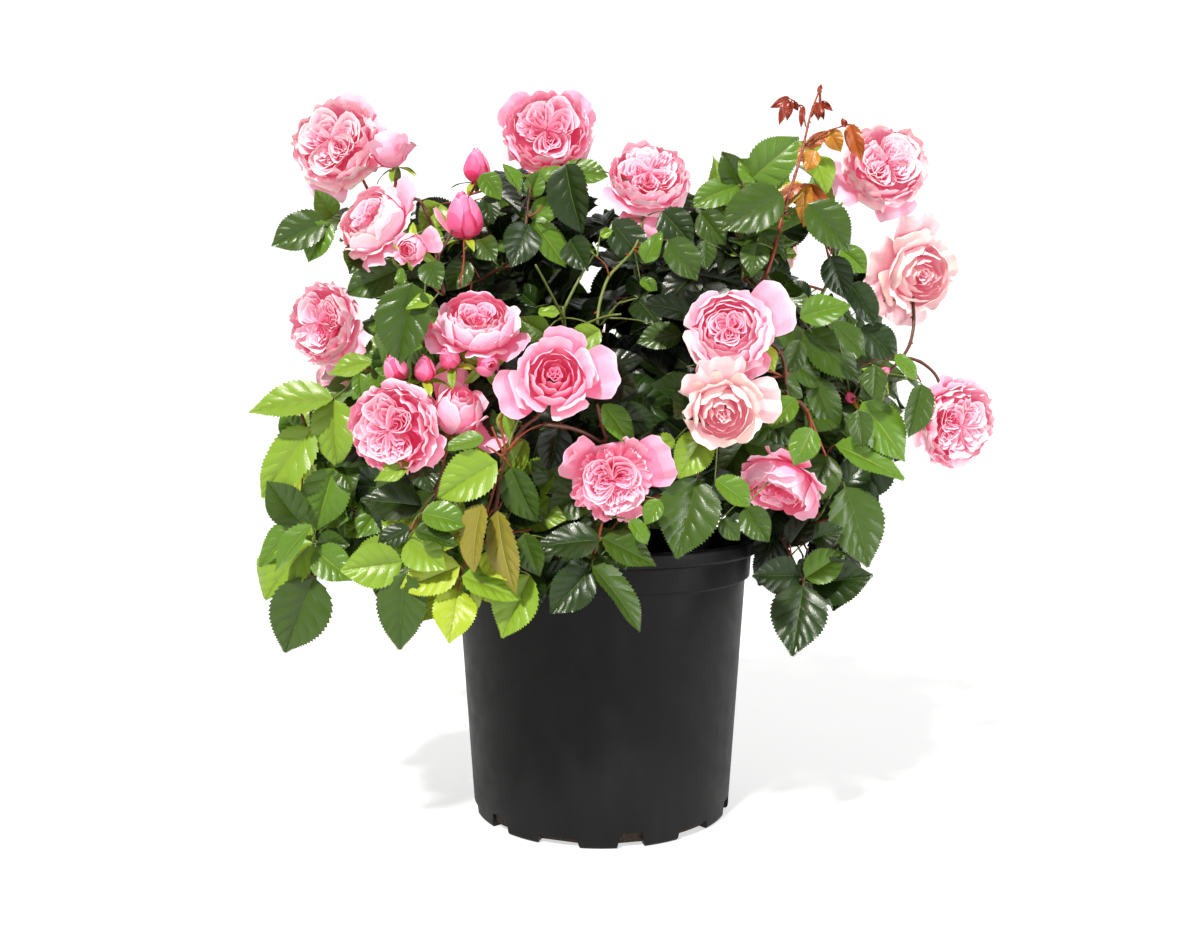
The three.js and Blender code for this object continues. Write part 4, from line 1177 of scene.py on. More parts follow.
def leaf_mesh(heap, blades):
    """All leaflets of a mass at once. A blade is its root, its way, the way its face looks, its
    length, width, fold, bend, wave and tones."""
    roots, ways, faces_way = (np.stack([b[k] for b in blades]) for k in range(3))
    length, width, fold, droop, wave, phase = (
        np.array([b[k] for b in blades])[:, None] for k in range(3, 9)
    )
    tones = np.array([b[9] for b in blades])
    rib_tones = np.array([b[10] for b in blades])
    across = unit(np.cross(faces_way, ways))
    normal = np.cross(ways, across)
    first_way = ways * np.cos(droop / 2) + normal * np.sin(droop / 2)
    first_normal = normal * np.cos(droop / 2) - ways * np.sin(droop / 2)
    u, v, ridge, tooth = BLADE_POINTS.T
    y = v * outline_at(u) * width + tooth * LEAFLET["tooth"] * length
    body = np.sin(math.pi * np.clip(u, 0, 1)) ** 0.4
    lift = fold * np.abs(y) + ridge * body * LEAFLET["relief"] * width / LEAFLET["width"]
    lift = lift - LEAFLET["curl"] * y * y + wave * np.sin(2 * math.pi * 1.4 * u + phase) * v * np.abs(v)
    turned = droop * u
    x = length * np.sin(turned) / droop + lift * np.sin(turned)
    z = -length * (1 - np.cos(turned)) / droop + lift * np.cos(turned)
    points = roots[:, None, :] + x[..., None] * first_way[:, None, :]
    points = points + y[..., None] * across[:, None, :] + z[..., None] * first_normal[:, None, :]
    count = len(u)
    faces = BLADE_FACES[None] + (np.arange(len(blades)) * count)[:, None, None]
    shades = np.where(BLADE_RIBS[None, :], rib_tones[:, None], tones[:, None])
    heap.add(points.reshape(-1, 3), faces.reshape(-1, 3), shades.ravel())


class Mass:
    """A mass of foliage as it grows: its wood lines, its twigs, its leaflets and its blooms."""

    def __init__(self, name, order, bough):
        self.name = name
        self.table = MASSES[name]
        self.at = vec(self.table["at"])
        self.random = np.random.default_rng(SEEDS["masses"] + order)
        self.twigs = Heap()
        self.petals = Heap()
        self.blades = []
        self.lines = []
        self.palette = self.table["tones"]
        self.bough = bough

    def light(self, tip):
        """The way a leaf faces: out of the crown, to the front or back of it, and up."""
        facing = unit(tip - vec(CROWN_HEART)) * LEAF_TURN["out"]
        facing = facing + (0, np.sign(self.at[1]) * LEAF_TURN["side"], LEAF_TURN["up"])
        return unit(facing + self.random.uniform(-0.5, 0.5, 3) * LEAF_TURN["any"])

    def tone_at(self, tip):
        """A tone for a leaf: one of the mass's own, or a dark one well inside the crown that paints the
        shade there.
        """
        inner = (tip > INNER_LOW).all() and (tip < INNER_HIGH).all()
        palette = PAINTED_SHADE_TONES if inner else self.palette
        return palette[self.random.integers(len(palette))]


BOX_LOW = vec(cad_box[0]) / MM + 2
BOX_HIGH = vec(cad_box[1]) / MM - 2
MASS_PLACES = vec([mass["at"] for mass in MASSES.values()])
MASS_RADII = vec([mass["radius"] for mass in MASSES.values()])
MASS_NAMES = list(MASSES)


def owns(name, point, leeway=1.0):
    """Whether no other mass is nearer to the point for its size, give or take some leeway."""
    shares = np.linalg.norm(MASS_PLACES - point, axis=1) / MASS_RADII
    return shares[MASS_NAMES.index(name)] <= leeway * shares.min() + 1e-9


def facing_of(yaw, pitch):
    y = math.radians(yaw)
    p = math.radians(pitch)
    return vec((math.sin(y) * math.cos(p), -math.cos(y) * math.cos(p), math.sin(p)))


def to_px(points):
    """Where points lie in the photograph."""
    away = points - vec(CAMERA["at"])
    down = CAMERA["down"]
    depth = away[:, 1] * math.cos(down) - away[:, 2] * math.sin(down)
    rise = away[:, 1] * math.sin(down) + away[:, 2] * math.cos(down)
    middle = vec(CAMERA["middle_px"])
    return middle + CAMERA["focal_px"] * np.stack([away[:, 0], -rise], -1) / depth[:, None]


def from_px(px, y):
    """The place at the depth y that the photograph shows at a pixel."""
    across, rise = (vec(px) - vec(CAMERA["middle_px"])) / CAMERA["focal_px"] * (1, -1)
    down = CAMERA["down"]
    way = vec((across, math.cos(down) + rise * math.sin(down), rise * math.cos(down) - math.sin(down)))
    return vec(CAMERA["at"]) + way * (y - CAMERA["at"][1]) / way[1]


def in_crown(points):
    """Whether all points lie within the crown's edge as the photograph shows it, out of the chinks."""
    px = to_px(points)
    for x, y, radius in SKY_PX:
        if (np.hypot(px[:, 0] - x, px[:, 1] - y) < radius + CHINK_ROOM_PX).any():
            return False
    inside = np.zeros(len(px), bool)
    for (x0, y0), (x1, y1) in zip(CROWN_EDGE_PX, CROWN_EDGE_PX[1:] + CROWN_EDGE_PX[:1]):
        if y0 == y1:
            continue
        crossed = (px[:, 1] < y0) != (px[:, 1] < y1)
        inside ^= crossed & (px[:, 0] < x0 + (px[:, 1] - y0) * (x1 - x0) / (y1 - y0))
    return bool(inside.all())


HEAD_PLACES = vec([bloom[1] for bloom in BLOOMS])
HEAD_RADII = vec([bloom[2] / 2 for bloom in BLOOMS])
HEAD_WAYS = np.stack([facing_of(bloom[3], bloom[4]) for bloom in BLOOMS])
HEAD_NECKS = HEAD_PLACES - 2 * HEAD_NECK * HEAD_RADII[:, None] * HEAD_WAYS
EYE_WAYS = np.where(
    HEAD_PLACES[:, 1:2] < 0,
    unit(vec(CAMERA["at"]) - HEAD_PLACES),
    HEAD_WAYS,
)


def hides_bloom(points):
    """Whether any point lies in a bloom, before its face, or between a front bloom and the eye."""
    from_head = points[:, None, :] - HEAD_PLACES
    if (np.linalg.norm(from_head, axis=2) < BLOOM_ROOM["around"] * HEAD_RADII).any():
        return True
    for ways, most in ((HEAD_WAYS, BLOOM_ROOM["before"]), (EYE_WAYS, BLOOM_ROOM["to_eye"])):
        ahead = (from_head * ways).sum(2)
        beside = np.linalg.norm(from_head - ahead[..., None] * ways, axis=2)
        if ((ahead > 0) & (ahead < most) & (beside < BLOOM_ROOM["beside"] * HEAD_RADII)).any():
            return True
    return False


def in_pot(points):
    """Whether any point lies in the pot, in its mouth or against its wall."""
    distance = np.hypot(points[:, 0], points[:, 1])
    height = points[:, 2]
    wall = lerp(POT["foot"], POT["top"], height / POT["collar_bottom"])
    wall = np.where(height > POT["collar_bottom"], POT["collar"] + 1, wall)
    wall = np.where(height > POT["lip_bottom"] - 4, POT["rim"], wall)
    return bool(((height < POT["height"] + POT_ROOM) & (distance < wall + POT_ROOM)).any())


class Seen:
    """The leaflets that the photograph shows, to keep all others from hiding them."""

    px = np.zeros((0, 2))
    depths = np.zeros(0)
    radii = np.zeros(0)

    @classmethod
    def add(cls, root, tip, width_px):
        spots = lerp(root, tip, vec(((0.25,), (0.5,), (0.75,))))
        cls.px = np.concatenate([cls.px, to_px(spots)])
        cls.depths = np.concatenate([cls.depths, spots[:, 1]])
        cls.radii = np.concatenate([cls.radii, np.full(3, SEEN_ROOM["radius"] * width_px)])

    @classmethod
    def hidden_by(cls, points):
        """Whether any point lies before a leaflet that is seen."""
        px = to_px(points)
        apart = np.hypot(px[:, None, 0] - cls.px[:, 0], px[:, None, 1] - cls.px[:, 1])
        return bool(((apart < cls.radii) & (points[:, None, 1] < cls.depths + SEEN_ROOM["depth"])).any())


class Grown:
    """The middles of all leaflets that have grown, to keep the next ones off them."""

    spots = np.zeros((MOST_LEAFLETS, 3))
    count = 0

    @classmethod
    def add(cls, spots):
        cls.spots[cls.count:cls.count + len(spots)] = spots
        cls.count += len(spots)

    @classmethod
    def crowd(cls, spots, gap):
        """Whether any of the spots would lie too near to a leaflet."""
        near = cls.spots[:cls.count]
        near = near[(np.abs(near - spots[0]) < NEARBY).all(axis=1)]
        return bool((np.linalg.norm(spots[:, None, :] - near[None], axis=2) < gap).any())


def leaf_tones(name):
    """The material numbers of a leaf tone and of the rib that goes with it."""
    return LEAF_TONE_NAMES.index(name), LEAF_TONE_NAMES.index(RIB_OF.get(name, "pale_rib"))


def leaf_plan(base, tip, facing, scale, random):
    """The stalk's line and the leaflets of one leaf, from the wood to its tip."""
    along = unit(tip - base)
    blade = LEAFLET["length"] * scale
    facing = unit(facing - along * (facing @ along))
    neck = tip - along * blade
    span = np.linalg.norm(neck - base)
    line = Line(base, lerp(base, neck, 0.5) + UP * 0.13 * span, neck)
    across = unit(np.cross(facing, along))
    blades = [(neck, along, 1.0)]
    for pair, size in enumerate(LEAF["sizes"]):
        for side in (-1, 1):
            back = (pair + LEAF["first"] + random.uniform(-0.06, 0.06)) * LEAF["pair"] * scale
            share = 1 - back / max(line.length, 1)
            if share < 0.12:
                continue
            lean = LEAF["lean"] + random.uniform(-0.12, 0.12)
            way = unit(across * side + along * lean - UP * random.uniform(0, 0.22))
            blades.append((line.at(share), way, size))
    return line, blades


def add_leaf(mass, base, tip, facing, scale, loose=False):
    """Grows one leaf if its leaflets have room, and says whether it did. A loose one may crowd
    others and stand out of the crown's edge."""
    random = mass.random
    line, blades = leaf_plan(base, tip, facing, scale, random)
    lengths = [LEAFLET["length"] * scale * size for _, _, size in blades]
    spots = np.stack([root + way * length * 0.5 for (root, way, _), length in zip(blades, lengths)])
    ends = np.stack([root + way * length for (root, way, _), length in zip(blades, lengths)])
    if in_pot(np.concatenate([spots, ends, line.at(np.linspace(0.2, 1, 4))])):
        return False
    outer = np.concatenate([spots, ends])
    if hides_bloom(outer) or Seen.hidden_by(outer):
        return False
    if not loose and (not in_crown(outer) or Grown.crowd(spots, TIP_SPACING * scale)):
        return False
    Grown.add(spots)
    tones = leaf_tones(mass.tone_at(tip))
    for (root, way, size), length in zip(blades, lengths):
        face = unit(facing + random.normal(0, 0.16, 3))
        width = LEAFLET["width"] * scale * size * random.uniform(0.9, 1.08)
        fold = random.uniform(0.12, 0.5)
        droop = random.uniform(0.25, 0.85)
        wave = (random.uniform(0.4, 1.7), random.uniform(0, 6))
        mass.blades.append((root, way, face, length, width, fold, droop, *wave, *tones))
    thin_stalk(mass.twigs, line, 0.95 * math.sqrt(scale), 0.5, random.random() < 0.25)
    return True


def grow_leaves_on(mass, line, first, last, scales=LEAF_SCALES):
    """Leaves along a twig, to either side of it in turn, spread towards the light."""
    random = mass.random
    count = int(line.length * (last - first) / NODE_SPACING)
    side = 1 if random.random() < 0.5 else -1
    for k in range(count + 1):
        share = last - (last - first) * k / max(1, count)
        base = line.at(share)
        along = line.tangent(share)
        side = -side
        for attempt in range(LEAF_TRIES):
            light = mass.light(base)
            away = side * unit(np.cross(along, light)) + random.normal(0, 0.45, 3)
            way = unit(along * random.uniform(0.1, 0.8) + away * 0.9 + light * 0.3 - UP * 0.15)
            scale = random.uniform(*scales) * (1 - 0.05 * attempt)
            tip = base + way * LEAF["length"] * scale
            if room_for(mass, tip) and add_leaf(mass, base, tip, light, scale):
                break


def room_for(mass, tip):
    """Whether a leaf tip stays in the mass's own space."""
    if (tip < BOX_LOW).any() or (tip > BOX_HIGH).any():
        return False
    return np.linalg.norm(tip - mass.at) < ROOM * mass.table["radius"] and owns(mass.name, tip, LEEWAY)


def nearest_on(lines, target):
    best = None
    for line in lines:
        points = line.at(np.linspace(0.125, 1, 8))
        apart = np.linalg.norm(points - target, axis=1)
        k = int(apart.argmin())
        if best is None or apart[k] < best[1]:
            best = (points[k], apart[k])
    return best


def grow_spray(mass, tip, asked):
    """A side twig from the nearest wood with leaves along it, whose end leaf has its tip at a place
    asked for or found. Near the wood it is only a leaf."""
    random = mass.random
    tip = vec(tip)
    foot, distance = nearest_on(mass.lines, tip)
    light = mass.light(tip)
    scale = random.uniform(*LEAF_SCALES)
    length = LEAF["length"] * scale
    if distance < length + 14:
        if asked:
            return add_leaf(mass, tip + unit(foot - tip) * length, tip, light, scale, loose=True)
        way = unit(tip - foot - UP * 0.1 * distance + random.normal(0, 0.3, 3) * distance)
        end = foot + way * length
        return room_for(mass, end) and add_leaf(mass, foot, end, light, scale)
    way = unit(unit(tip - foot) - UP * 0.12)
    end = tip - way * length
    if not add_leaf(mass, end, tip, light, scale, loose=asked):
        return False
    grow_twig(mass, foot, end)
    return True


def grow_twig(mass, foot, end):
    """A side twig between two places, with leaves along it."""
    random = mass.random
    span = np.linalg.norm(end - foot)
    bow = lerp(foot, end, 0.5) + UP * 0.14 * span + random.normal(0, 0.05, 3) * span
    twig = Line(foot, bow, end)
    if in_pot(twig.at(np.linspace(0, 1, 6))):
        return
    limb(mass.twigs, twig, SIDE_TWIG, random, wood_tone(random.random() >= 0.7))
    mass.lines.append(twig)
    grow_leaves_on(mass, twig, 0.12, 0.94)


def grow_side_twigs(mass):
    """Twigs spread evenly round the stem of a mass, with a leaf at the end of each."""
    stem = mass.lines[0]
    for k in range(SIDE_TWIGS):
        share = 0.15 + 0.85 * (k + 0.5) / SIDE_TWIGS
        foot = stem.at(share)
        turn = GOLDEN_TURN * k
        rise = 1 - 2 * (k + 0.5) / SIDE_TWIGS
        flat = math.sqrt(1 - rise * rise)
        way = vec((flat * math.cos(turn), flat * math.sin(turn), -0.8 * rise + 0.1))
        end = foot + way * mass.table["radius"] * mass.random.uniform(0.4, 0.62)
        if in_crown(end[None]) and not hides_bloom(end[None]) and not in_pot(end[None]):
            grow_twig(mass, foot, end)
            tip = end + unit(way - UP * 0.1) * LEAF["length"] * 0.8
            if room_for(mass, tip):
                add_leaf(mass, end, tip, mass.light(tip), 0.8)


def tip_spot(mass):
    """The barest of a few random places in a mass's own space."""
    random = mass.random
    ways = unit(random.normal(0, 1, (SPOTS_LOOKED_AT, 3)))
    spread = np.cbrt(random.random((SPOTS_LOOKED_AT, 1)))
    spots = mass.at + ways * mass.table["radius"] * 1.1 * spread
    grown = Grown.spots[:Grown.count]
    best = None
    for spot in spots:
        if not owns(mass.name, spot):
            continue
        bare = np.linalg.norm(grown - spot, axis=1).min() if len(grown) else 1e3
        if best is None or bare > best[1]:
            best = (spot, bare)
    return None if best is None else best[0]


def seen_knots(stem):
    """The places that a stem seen in the photograph runs through, up to the bloom it bears."""
    _, (near, far), _, _, _, bears, way = stem
    knots = [from_px(px, lerp(near, far, k / (len(way) - 1))) for k, px in enumerate(way)]
    if bears:
        knots.append(HEAD_NECKS[np.linalg.norm(HEAD_NECKS - knots[-1], axis=1).argmin()])
    return knots


SEEN_ENDS = np.stack([seen_knots(stem)[-1] for stem in SEEN_STEMS_PX])


def grow_seen_stems(mass):
    """The stems that the photograph shows in a mass, each from the nearest wood."""
    for stem in [stem for stem in SEEN_STEMS_PX if stem[0] == mass.name]:
        _, _, (foot, tip), tone, spacing, _, _ = stem
        knots = seen_knots(stem)
        root = nearest_on(mass.lines, knots[0])[0]
        joint = lerp(root, knots[0], 0.5) + UP * 0.1 * np.linalg.norm(knots[0] - root)
        line = Path([root, joint] + knots)
        size = {**SEEN_STEM, "foot": foot, "tip": tip}
        limb(mass.twigs, line, size, mass.random, WOOD_TONE_NAMES.index(tone))
        if spacing:
            thorns(mass.twigs, line, size, mass.random, wood_tone(True), spacing, 0.1, 0.97)
        mass.lines.append(line)


def grow_seen_leaflets(mass):
    """The leaflets that the photograph shows in a mass, each on a stalk from the nearest wood."""
    for _, depth, leaflets in [group for group in SEEN_LEAFLETS_PX if group[0] == mass.name]:
        for root_px, tip_px, width_px, tone in leaflets:
            y = depth + mass.random.uniform(-1, 1) * (DEPTH_SPREAD if len(leaflets) > 2 else 0)
            add_seen_leaflet(mass, from_px(root_px, y), from_px(tip_px, y), width_px, tone)


def add_seen_leaflet(mass, root, tip, width_px, tone):
    """One leaflet as long and wide as it looks: a short one leans to the eye, a narrow one turns."""
    random = mass.random
    eye = unit(vec(CAMERA["at"]) - root)
    seen = np.linalg.norm(tip - root)
    width = width_px * (root[1] - CAMERA["at"][1]) / CAMERA["focal_px"]
    shape = LEAFLET["width"] / LEAFLET["length"]
    young = RIB_OF.get(tone) == "red_rib"
    length = seen if young else max(seen, min(width / shape, 1.5 * seen))
    way = unit(unit(tip - root) * seen / length + eye * math.sqrt(1 - (seen / length) ** 2))
    full = width if young else max(width, math.sqrt(width * length * shape))
    turned = math.acos(width / full)
    face = unit(eye - way * (eye @ way))
    across = np.cross(way, face)
    lean = 1 if across @ (UP + vec((0.5, 0, 0)) * np.sign(root[0])) > 0 else -1
    face = unit(face * math.cos(turned) + lean * across * math.sin(turned) + random.normal(0, 0.05, 3))
    bend = random.uniform(0.2, 0.6)
    fold = random.uniform(0.1, 0.42)
    wave = (random.uniform(0.5, 1.8), random.uniform(0, 6))
    mass.blades.append((root, way, face, length, full, fold, bend, *wave, *leaf_tones(tone)))
    Grown.add((root + way * length * vec(((0.3,), (0.7,)))))
    Seen.add(root, root + way * length, width_px)
    foot = nearest_on(mass.lines, root)[0]
    span = np.linalg.norm(root - foot)
    if span > 2:
        stalk = Line(foot, lerp(foot, root, 0.5) + UP * 0.12 * span - eye * 0.1 * span, root)
        thin_stalk(mass.twigs, stalk, 0.9, 0.45, young or random.random() < 0.25)


def grow_wood(mass):
    """The wood of a mass: its stem, the stems that are seen, and a stalk to each other bloom."""
    random = mass.random
    way = mass.bough.tangent(1)
    start = mass.bough.end + way * CLEAR
    radius = mass.table["radius"]
    stem = Line(start, start + way * 0.35 * radius, mass.at + UP * 0.3 * radius)
    mass.lines = [stem]
    limb(mass.twigs, stem, TWIG, random, wood_tone(False))
    thorns(mass.twigs, stem, TWIG, random, wood_tone(True), 22)
    grow_seen_stems(mass)
    stalks = []
    small = [(*b, "bud", 0, []) for b in SMALL_BUDS if b[0] == mass.name]
    for bloom in [b for b in BLOOMS if b[0] == mass.name] + small:
        at, width = vec(bloom[1]), bloom[2]
        facing = facing_of(bloom[3], bloom[4])
        neck = at - facing * HEAD_NECK * width
        grow_head(mass, bloom, at, facing)
        if np.linalg.norm(SEEN_ENDS - neck, axis=1).min() < 1:
            continue
        foot = nearest_on([stem], neck - UP * HEAD_HANG)[0]
        stalk = Line(foot, neck - facing * 0.4 * np.linalg.norm(foot - neck), neck)
        limb(mass.twigs, stalk, STALK, random, wood_tone(random.random() < 0.6))
        thorns(mass.twigs, stalk, STALK, random, wood_tone(True), 24, 0.05, 0.7)
        stalks.append(stalk)
    mass.lines += stalks
    grow_seen_leaflets(mass)
    return stalks


def grow_mass(mass, stalks):
    """Leaves on the stem and stalks, then sprays to the furthest tips and through the space."""
    for tip in mass.table["reach"]:
        grow_spray(mass, tip, True)
    for stalk in stalks:
        grow_leaves_on(mass, stalk, 0.15, 0.72, STALK_SCALES)
    grow_leaves_on(mass, mass.lines[0], 0.2, 1.0)
    grow_side_twigs(mass)
    for _ in range(TRIES):
        if len(mass.blades) > LEAFLETS_PER_MASS:
            break
        spot = tip_spot(mass)
        if spot is not None:
            grow_spray(mass, spot, False)


# Blooms


# The rows of a petal's net, as shares of its length, and how many faces a folded one has across
PETAL_LEVELS = vec((0, 0.25, 0.45, 0.62, 0.77, 0.89, 0.96, 1.0))
WIDE_LEVELS = vec((0, 0.2, 0.36, 0.5, 0.62, 0.73, 0.82, 0.9, 0.96, 1.0))
FOLD_LEVELS = vec((0, 0.45, 0.7, 0.86, 0.955, 1.0))
FOLD_COLUMNS = 14
# The rings of a rosette's bowl: how many petals, how far out and how high they stand
BOWL_RINGS = ((8, 0.7, 0.2), (8, 0.77, 0.17), (7, 0.84, 0.1))


def middle_line(profile, s):
    """A petal's middle line at shares s of its length: radius, height, and the way inward."""
    step = np.diff(profile, axis=0)
    spots = [(1 - s) ** 3, 3 * (1 - s) ** 2 * s, 3 * (1 - s) * s * s, s ** 3]
    slopes = [(1 - s) ** 2, 2 * (1 - s) * s, s * s]
    radial, height = (sum(weight * p[k] for weight, p in zip(spots, profile)) for k in (0, 1))
    dr, dz = (sum(weight * p[k] for weight, p in zip(slopes, step)) for k in (0, 1))
    size = np.maximum(np.hypot(dr, dz), 1e-6)
    return radial, height, -dz / size, dr / size


class Head:
    """A bloom being built: shapes are given for a radius of 1, facing +Z, with the clock angle of
    each petal counted from the bloom's right."""

    def __init__(self, heap, at, facing, radius, pale, random):
        self.heap = heap
        self.at = at
        self.facing = facing
        self.right = unit(np.cross(UP, facing))
        self.up = np.cross(facing, self.right)
        self.radius = radius
        self.pale = pale
        self.random = random
        self.first_tone = 0

    def place(self, x, y, z):
        local = x[..., None] * self.right + y[..., None] * self.up + z[..., None] * self.facing
        return self.at + self.radius * local

    def tones(self, inner, outer, levels, columns):
        """A petal tone for each face, from its foot to its pale margin: partly the petal's own colour,
        partly painted shade, deep and saturated at the foot where petals lie hidden, and painted light on
        the margin row.
        """
        share = 0.5 * (levels[1:] + levels[:-1])
        tone = lerp(inner, outer, share ** 1.2) + self.pale + self.random.uniform(-0.6, 0.6) + 0.5
        # The margin row is lifted a step paler as painted light on the petal's edge
        tone[-1] += 1.2
        tone = np.clip(np.round(tone), 0, len(PETAL_TONES) - 1).astype(int)
        row = np.repeat(tone + self.first_tone, columns)
        return np.concatenate([row, row])

    def petal(
        self, turn, profile, half, wrap, inner, outer, ruffle, roll, columns,
        notch=0.06, levels=PETAL_LEVELS,
    ):
        """A petal round the axis. profile is four (radius, height) pairs that draw its middle line,
        half its half-width, wrap how closely it wraps the axis, inner and outer its tones at the foot
        and the margin, ruffle how wavy it is, roll how far its margin rolls back, columns how many
        faces it has across, and notch how deep the dip at the middle of its margin is."""
        random = self.random
        s, t = np.meshgrid(levels, np.linspace(-1, 1, columns + 1), indexing="ij")
        corner = 0.27 * np.abs(t) ** 2.6 + notch * np.exp(-((t / 0.24) ** 2))
        s = s * (1 - corner)
        radial, height, inward, upward = middle_line(vec(profile), s)
        wide = half * (0.2 + 0.8 * np.sin(0.5 * math.pi * np.minimum(s / 0.7, 1)))
        bend = wrap / np.maximum(radial, wide / 1.9)
        bend = np.where(np.abs(bend) < 1e-3, 1e-3, bend)
        side = np.sin(t * wide * bend) / bend
        lift = (1 - np.cos(t * wide * bend)) / bend
        phase = random.uniform(0, 2 * math.pi, 3)
        waves = np.sin(2.2 * math.pi * t + phase[0]) + 0.6 * np.sin(3.9 * math.pi * t + phase[1])
        crease = 0.4 * np.sin(6 * t + phase[2]) * smooth(s, 0.3, 0.8)
        lift = lift + ruffle * (s * s * (0.4 + np.abs(t)) * waves + crease)
        lift = lift - roll * smooth(np.abs(t), 0.45, 1.0) * s - 0.6 * roll * smooth(s, 0.72, 1.0)
        radial = radial + inward * lift
        height = height + upward * lift
        x = radial * math.cos(turn) - side * math.sin(turn)
        y = radial * math.sin(turn) + side * math.cos(turn)
        faces = grid_faces(len(levels), columns + 1)
        self.heap.add(self.place(x, y, height), faces, self.tones(inner, outer, levels, columns))

    def fold(self, turn, spread, near, far, low, top, inner, outer):
        """A petal folded on itself: seen from above a U with its ends near the heart of the bloom."""
        random = self.random
        s, t = np.meshgrid(FOLD_LEVELS, np.linspace(-1, 1, FOLD_COLUMNS + 1), indexing="ij")
        skew = random.uniform(-0.25, 0.25)
        ripple = random.uniform(0.012, 0.035)
        phase = random.uniform(0, 2 * math.pi, 2)
        angle = turn + spread * np.sin(0.5 * math.pi * t) + skew * (1 - t * t) * spread
        shape = (1 - np.abs(t) ** 2.6) * (1 + 0.07 * np.sin(2.2 * math.pi * t + phase[0]))
        reach = near + (far - near) * shape + ripple * np.sin(3.1 * math.pi * t + phase[1]) * s
        grow = 0.25 + 0.75 * s ** 0.7
        crest = top + 0.09 * reach + 0.022 * np.sin(2.7 * math.pi * t + 2 * phase[1])
        x = reach * grow * np.cos(angle)
        y = reach * grow * np.sin(angle)
        rolled = 0.03 * smooth(s, 0.85, 1.0)
        middle = 0.55 * far * vec((math.cos(turn), math.sin(turn)))
        out = unit(np.stack([x - middle[0], y - middle[1]], -1))
        x = x + out[..., 0] * rolled
        y = y + out[..., 1] * rolled
        height = low + (crest - low) * s - 0.015 * smooth(s, 0.95, 1.0)
        faces = grid_faces(len(FOLD_LEVELS), FOLD_COLUMNS + 1)
        tones = self.tones(inner, outer, FOLD_LEVELS, FOLD_COLUMNS)
        self.heap.add(self.place(x, y, height), faces, tones)


def guard_petals(head, count, reach, top, droop, tone, first):
    """The outer petals: broad, cupped at the foot and thrown back at the margin."""
    random = head.random
    for k in range(count):
        turn = first + 2 * math.pi * (k + random.uniform(-0.16, 0.16)) / count
        r = reach * random.uniform(0.92, 1.06)
        z = top + random.uniform(-0.06, 0.06)
        profile = [(0.06, -0.5), (0.62 * r, -0.52), (0.96 * r, z - 0.12), (r, z - droop)]
        head.petal(turn, profile, 0.5 * r, 0.75, tone - 2, tone + 1, 0.035, 0.1, 10, 0.06, WIDE_LEVELS)


def wing_petals(head, wings):
    """The few petals that stand well out of a bloom, each with its own reach and droop."""
    for clock, reach, droop in wings:
        profile = [
            (0.1, -0.5),
            (0.5 * reach, -0.5 - 0.1 * droop),
            (0.8 * reach, -0.05 - 0.4 * droop),
            (reach, 0.12 - 0.85 * droop),
        ]
        half = 0.44 * reach
        # The wings take deeper tones than guard petals, partly as painted half shade
        head.petal(math.radians(clock), profile, half, 0.6, 3.4, 6.2, 0.08, 0.16, 12, 0.05, WIDE_LEVELS)


def spiral(random, count, jitter):
    """The petals of a spiral from the heart out: the share of the way, and the clock angle."""
    for k in range(count):
        yield k / (count - 1), k * GOLDEN_TURN + random.uniform(-jitter, jitter)


def ragged(head, wings):
    """A full bloom past its best, with three quarters and uneven outer petals."""
    rosette(head, wings, worn=True)


def rosette(head, wings, worn=False):
    """A full open bloom: folded petals in quarters, a bowl round them, and guard petals."""
    random = head.random
    quarters = 3 if worn else (5 if random.random() < 0.6 else 4)
    start = random.uniform(0, 2 * math.pi)
    for quarter in range(quarters):
        fold_quarter(head, start, quarter, 2 * math.pi / quarters, worn)
    for _ in range(22 if worn else 9):
        far = random.uniform(0.4, 0.68)
        turn = random.uniform(0, 2 * math.pi)
        head.fold(turn, random.uniform(0.14, 0.3), far - 0.18, far, -0.3, random.uniform(0.08, 0.2), 1, 8)
    for ring, (count, reach, top) in enumerate(BOWL_RINGS):
        bowl_ring(head, ring, count, reach, top, worn)
    if worn:
        guard_petals(head, 5, 0.86, -0.1, 0.3, 6.0, random.uniform(0, 1))
    else:
        guard_petals(head, 6, 0.92, 0.05, 0.08, 7.5, random.uniform(0, 1))
        guard_petals(head, 5, 0.97, -0.1, 0.25, 8.5, random.uniform(0, 1))
    wing_petals(head, wings)


def fold_quarter(head, start, quarter, step, worn):
    """A nest of folded petals, one within the other, in one quarter of a rosette."""
    random = head.random
    turn = start + (quarter + random.uniform(-0.22, 0.22)) * step
    size = random.uniform(0.86, 1.08)
    lift = random.uniform(-0.05, 0.05)
    sway = random.uniform(-0.35, 0.35) * (2 if worn else 1)
    for share in np.arange(9) / 8:
        far = lerp(0.7, 0.15, share) * size * random.uniform(0.93, 1.07)
        spread = lerp(0.62, 0.2, share) * step
        top = lerp(0.13, 0.06, share) + lift + random.uniform(-0.05, 0.05)
        near = lerp(0.1, 0.04, share)
        lean = turn + sway * share * step + random.uniform(-0.14, 0.14)
        head.fold(lean, spread, near, far, -0.4, top, lerp(1.2, 0, share), lerp(8.4, 5.0, share))


def bowl_ring(head, ring, count, reach, top, worn):
    """A ring of upright petals round the heart of a rosette."""
    random = head.random
    for k in range(count):
        turn = 2 * math.pi * (k + 0.5 * ring + random.uniform(-0.2, 0.2)) / count
        r = reach * (random.uniform(0.7, 1.12) if worn else random.uniform(0.95, 1.05))
        z = top + random.uniform(-0.05, 0.05) - (random.uniform(0, 0.4) if worn else 0)
        tip = r * (1.14 if worn else 0.94 + 0.06 * ring)
        profile = [(0.05, -0.5), (0.95 * r, -0.5), (1.16 * r, -0.05), (tip, z)]
        half = (0.3 if worn else 0.46) * r
        head.petal(turn, profile, half, 0.95, 1.5 + ring, 8.2 + 0.6 * ring, 0.045, 0.05, 9)


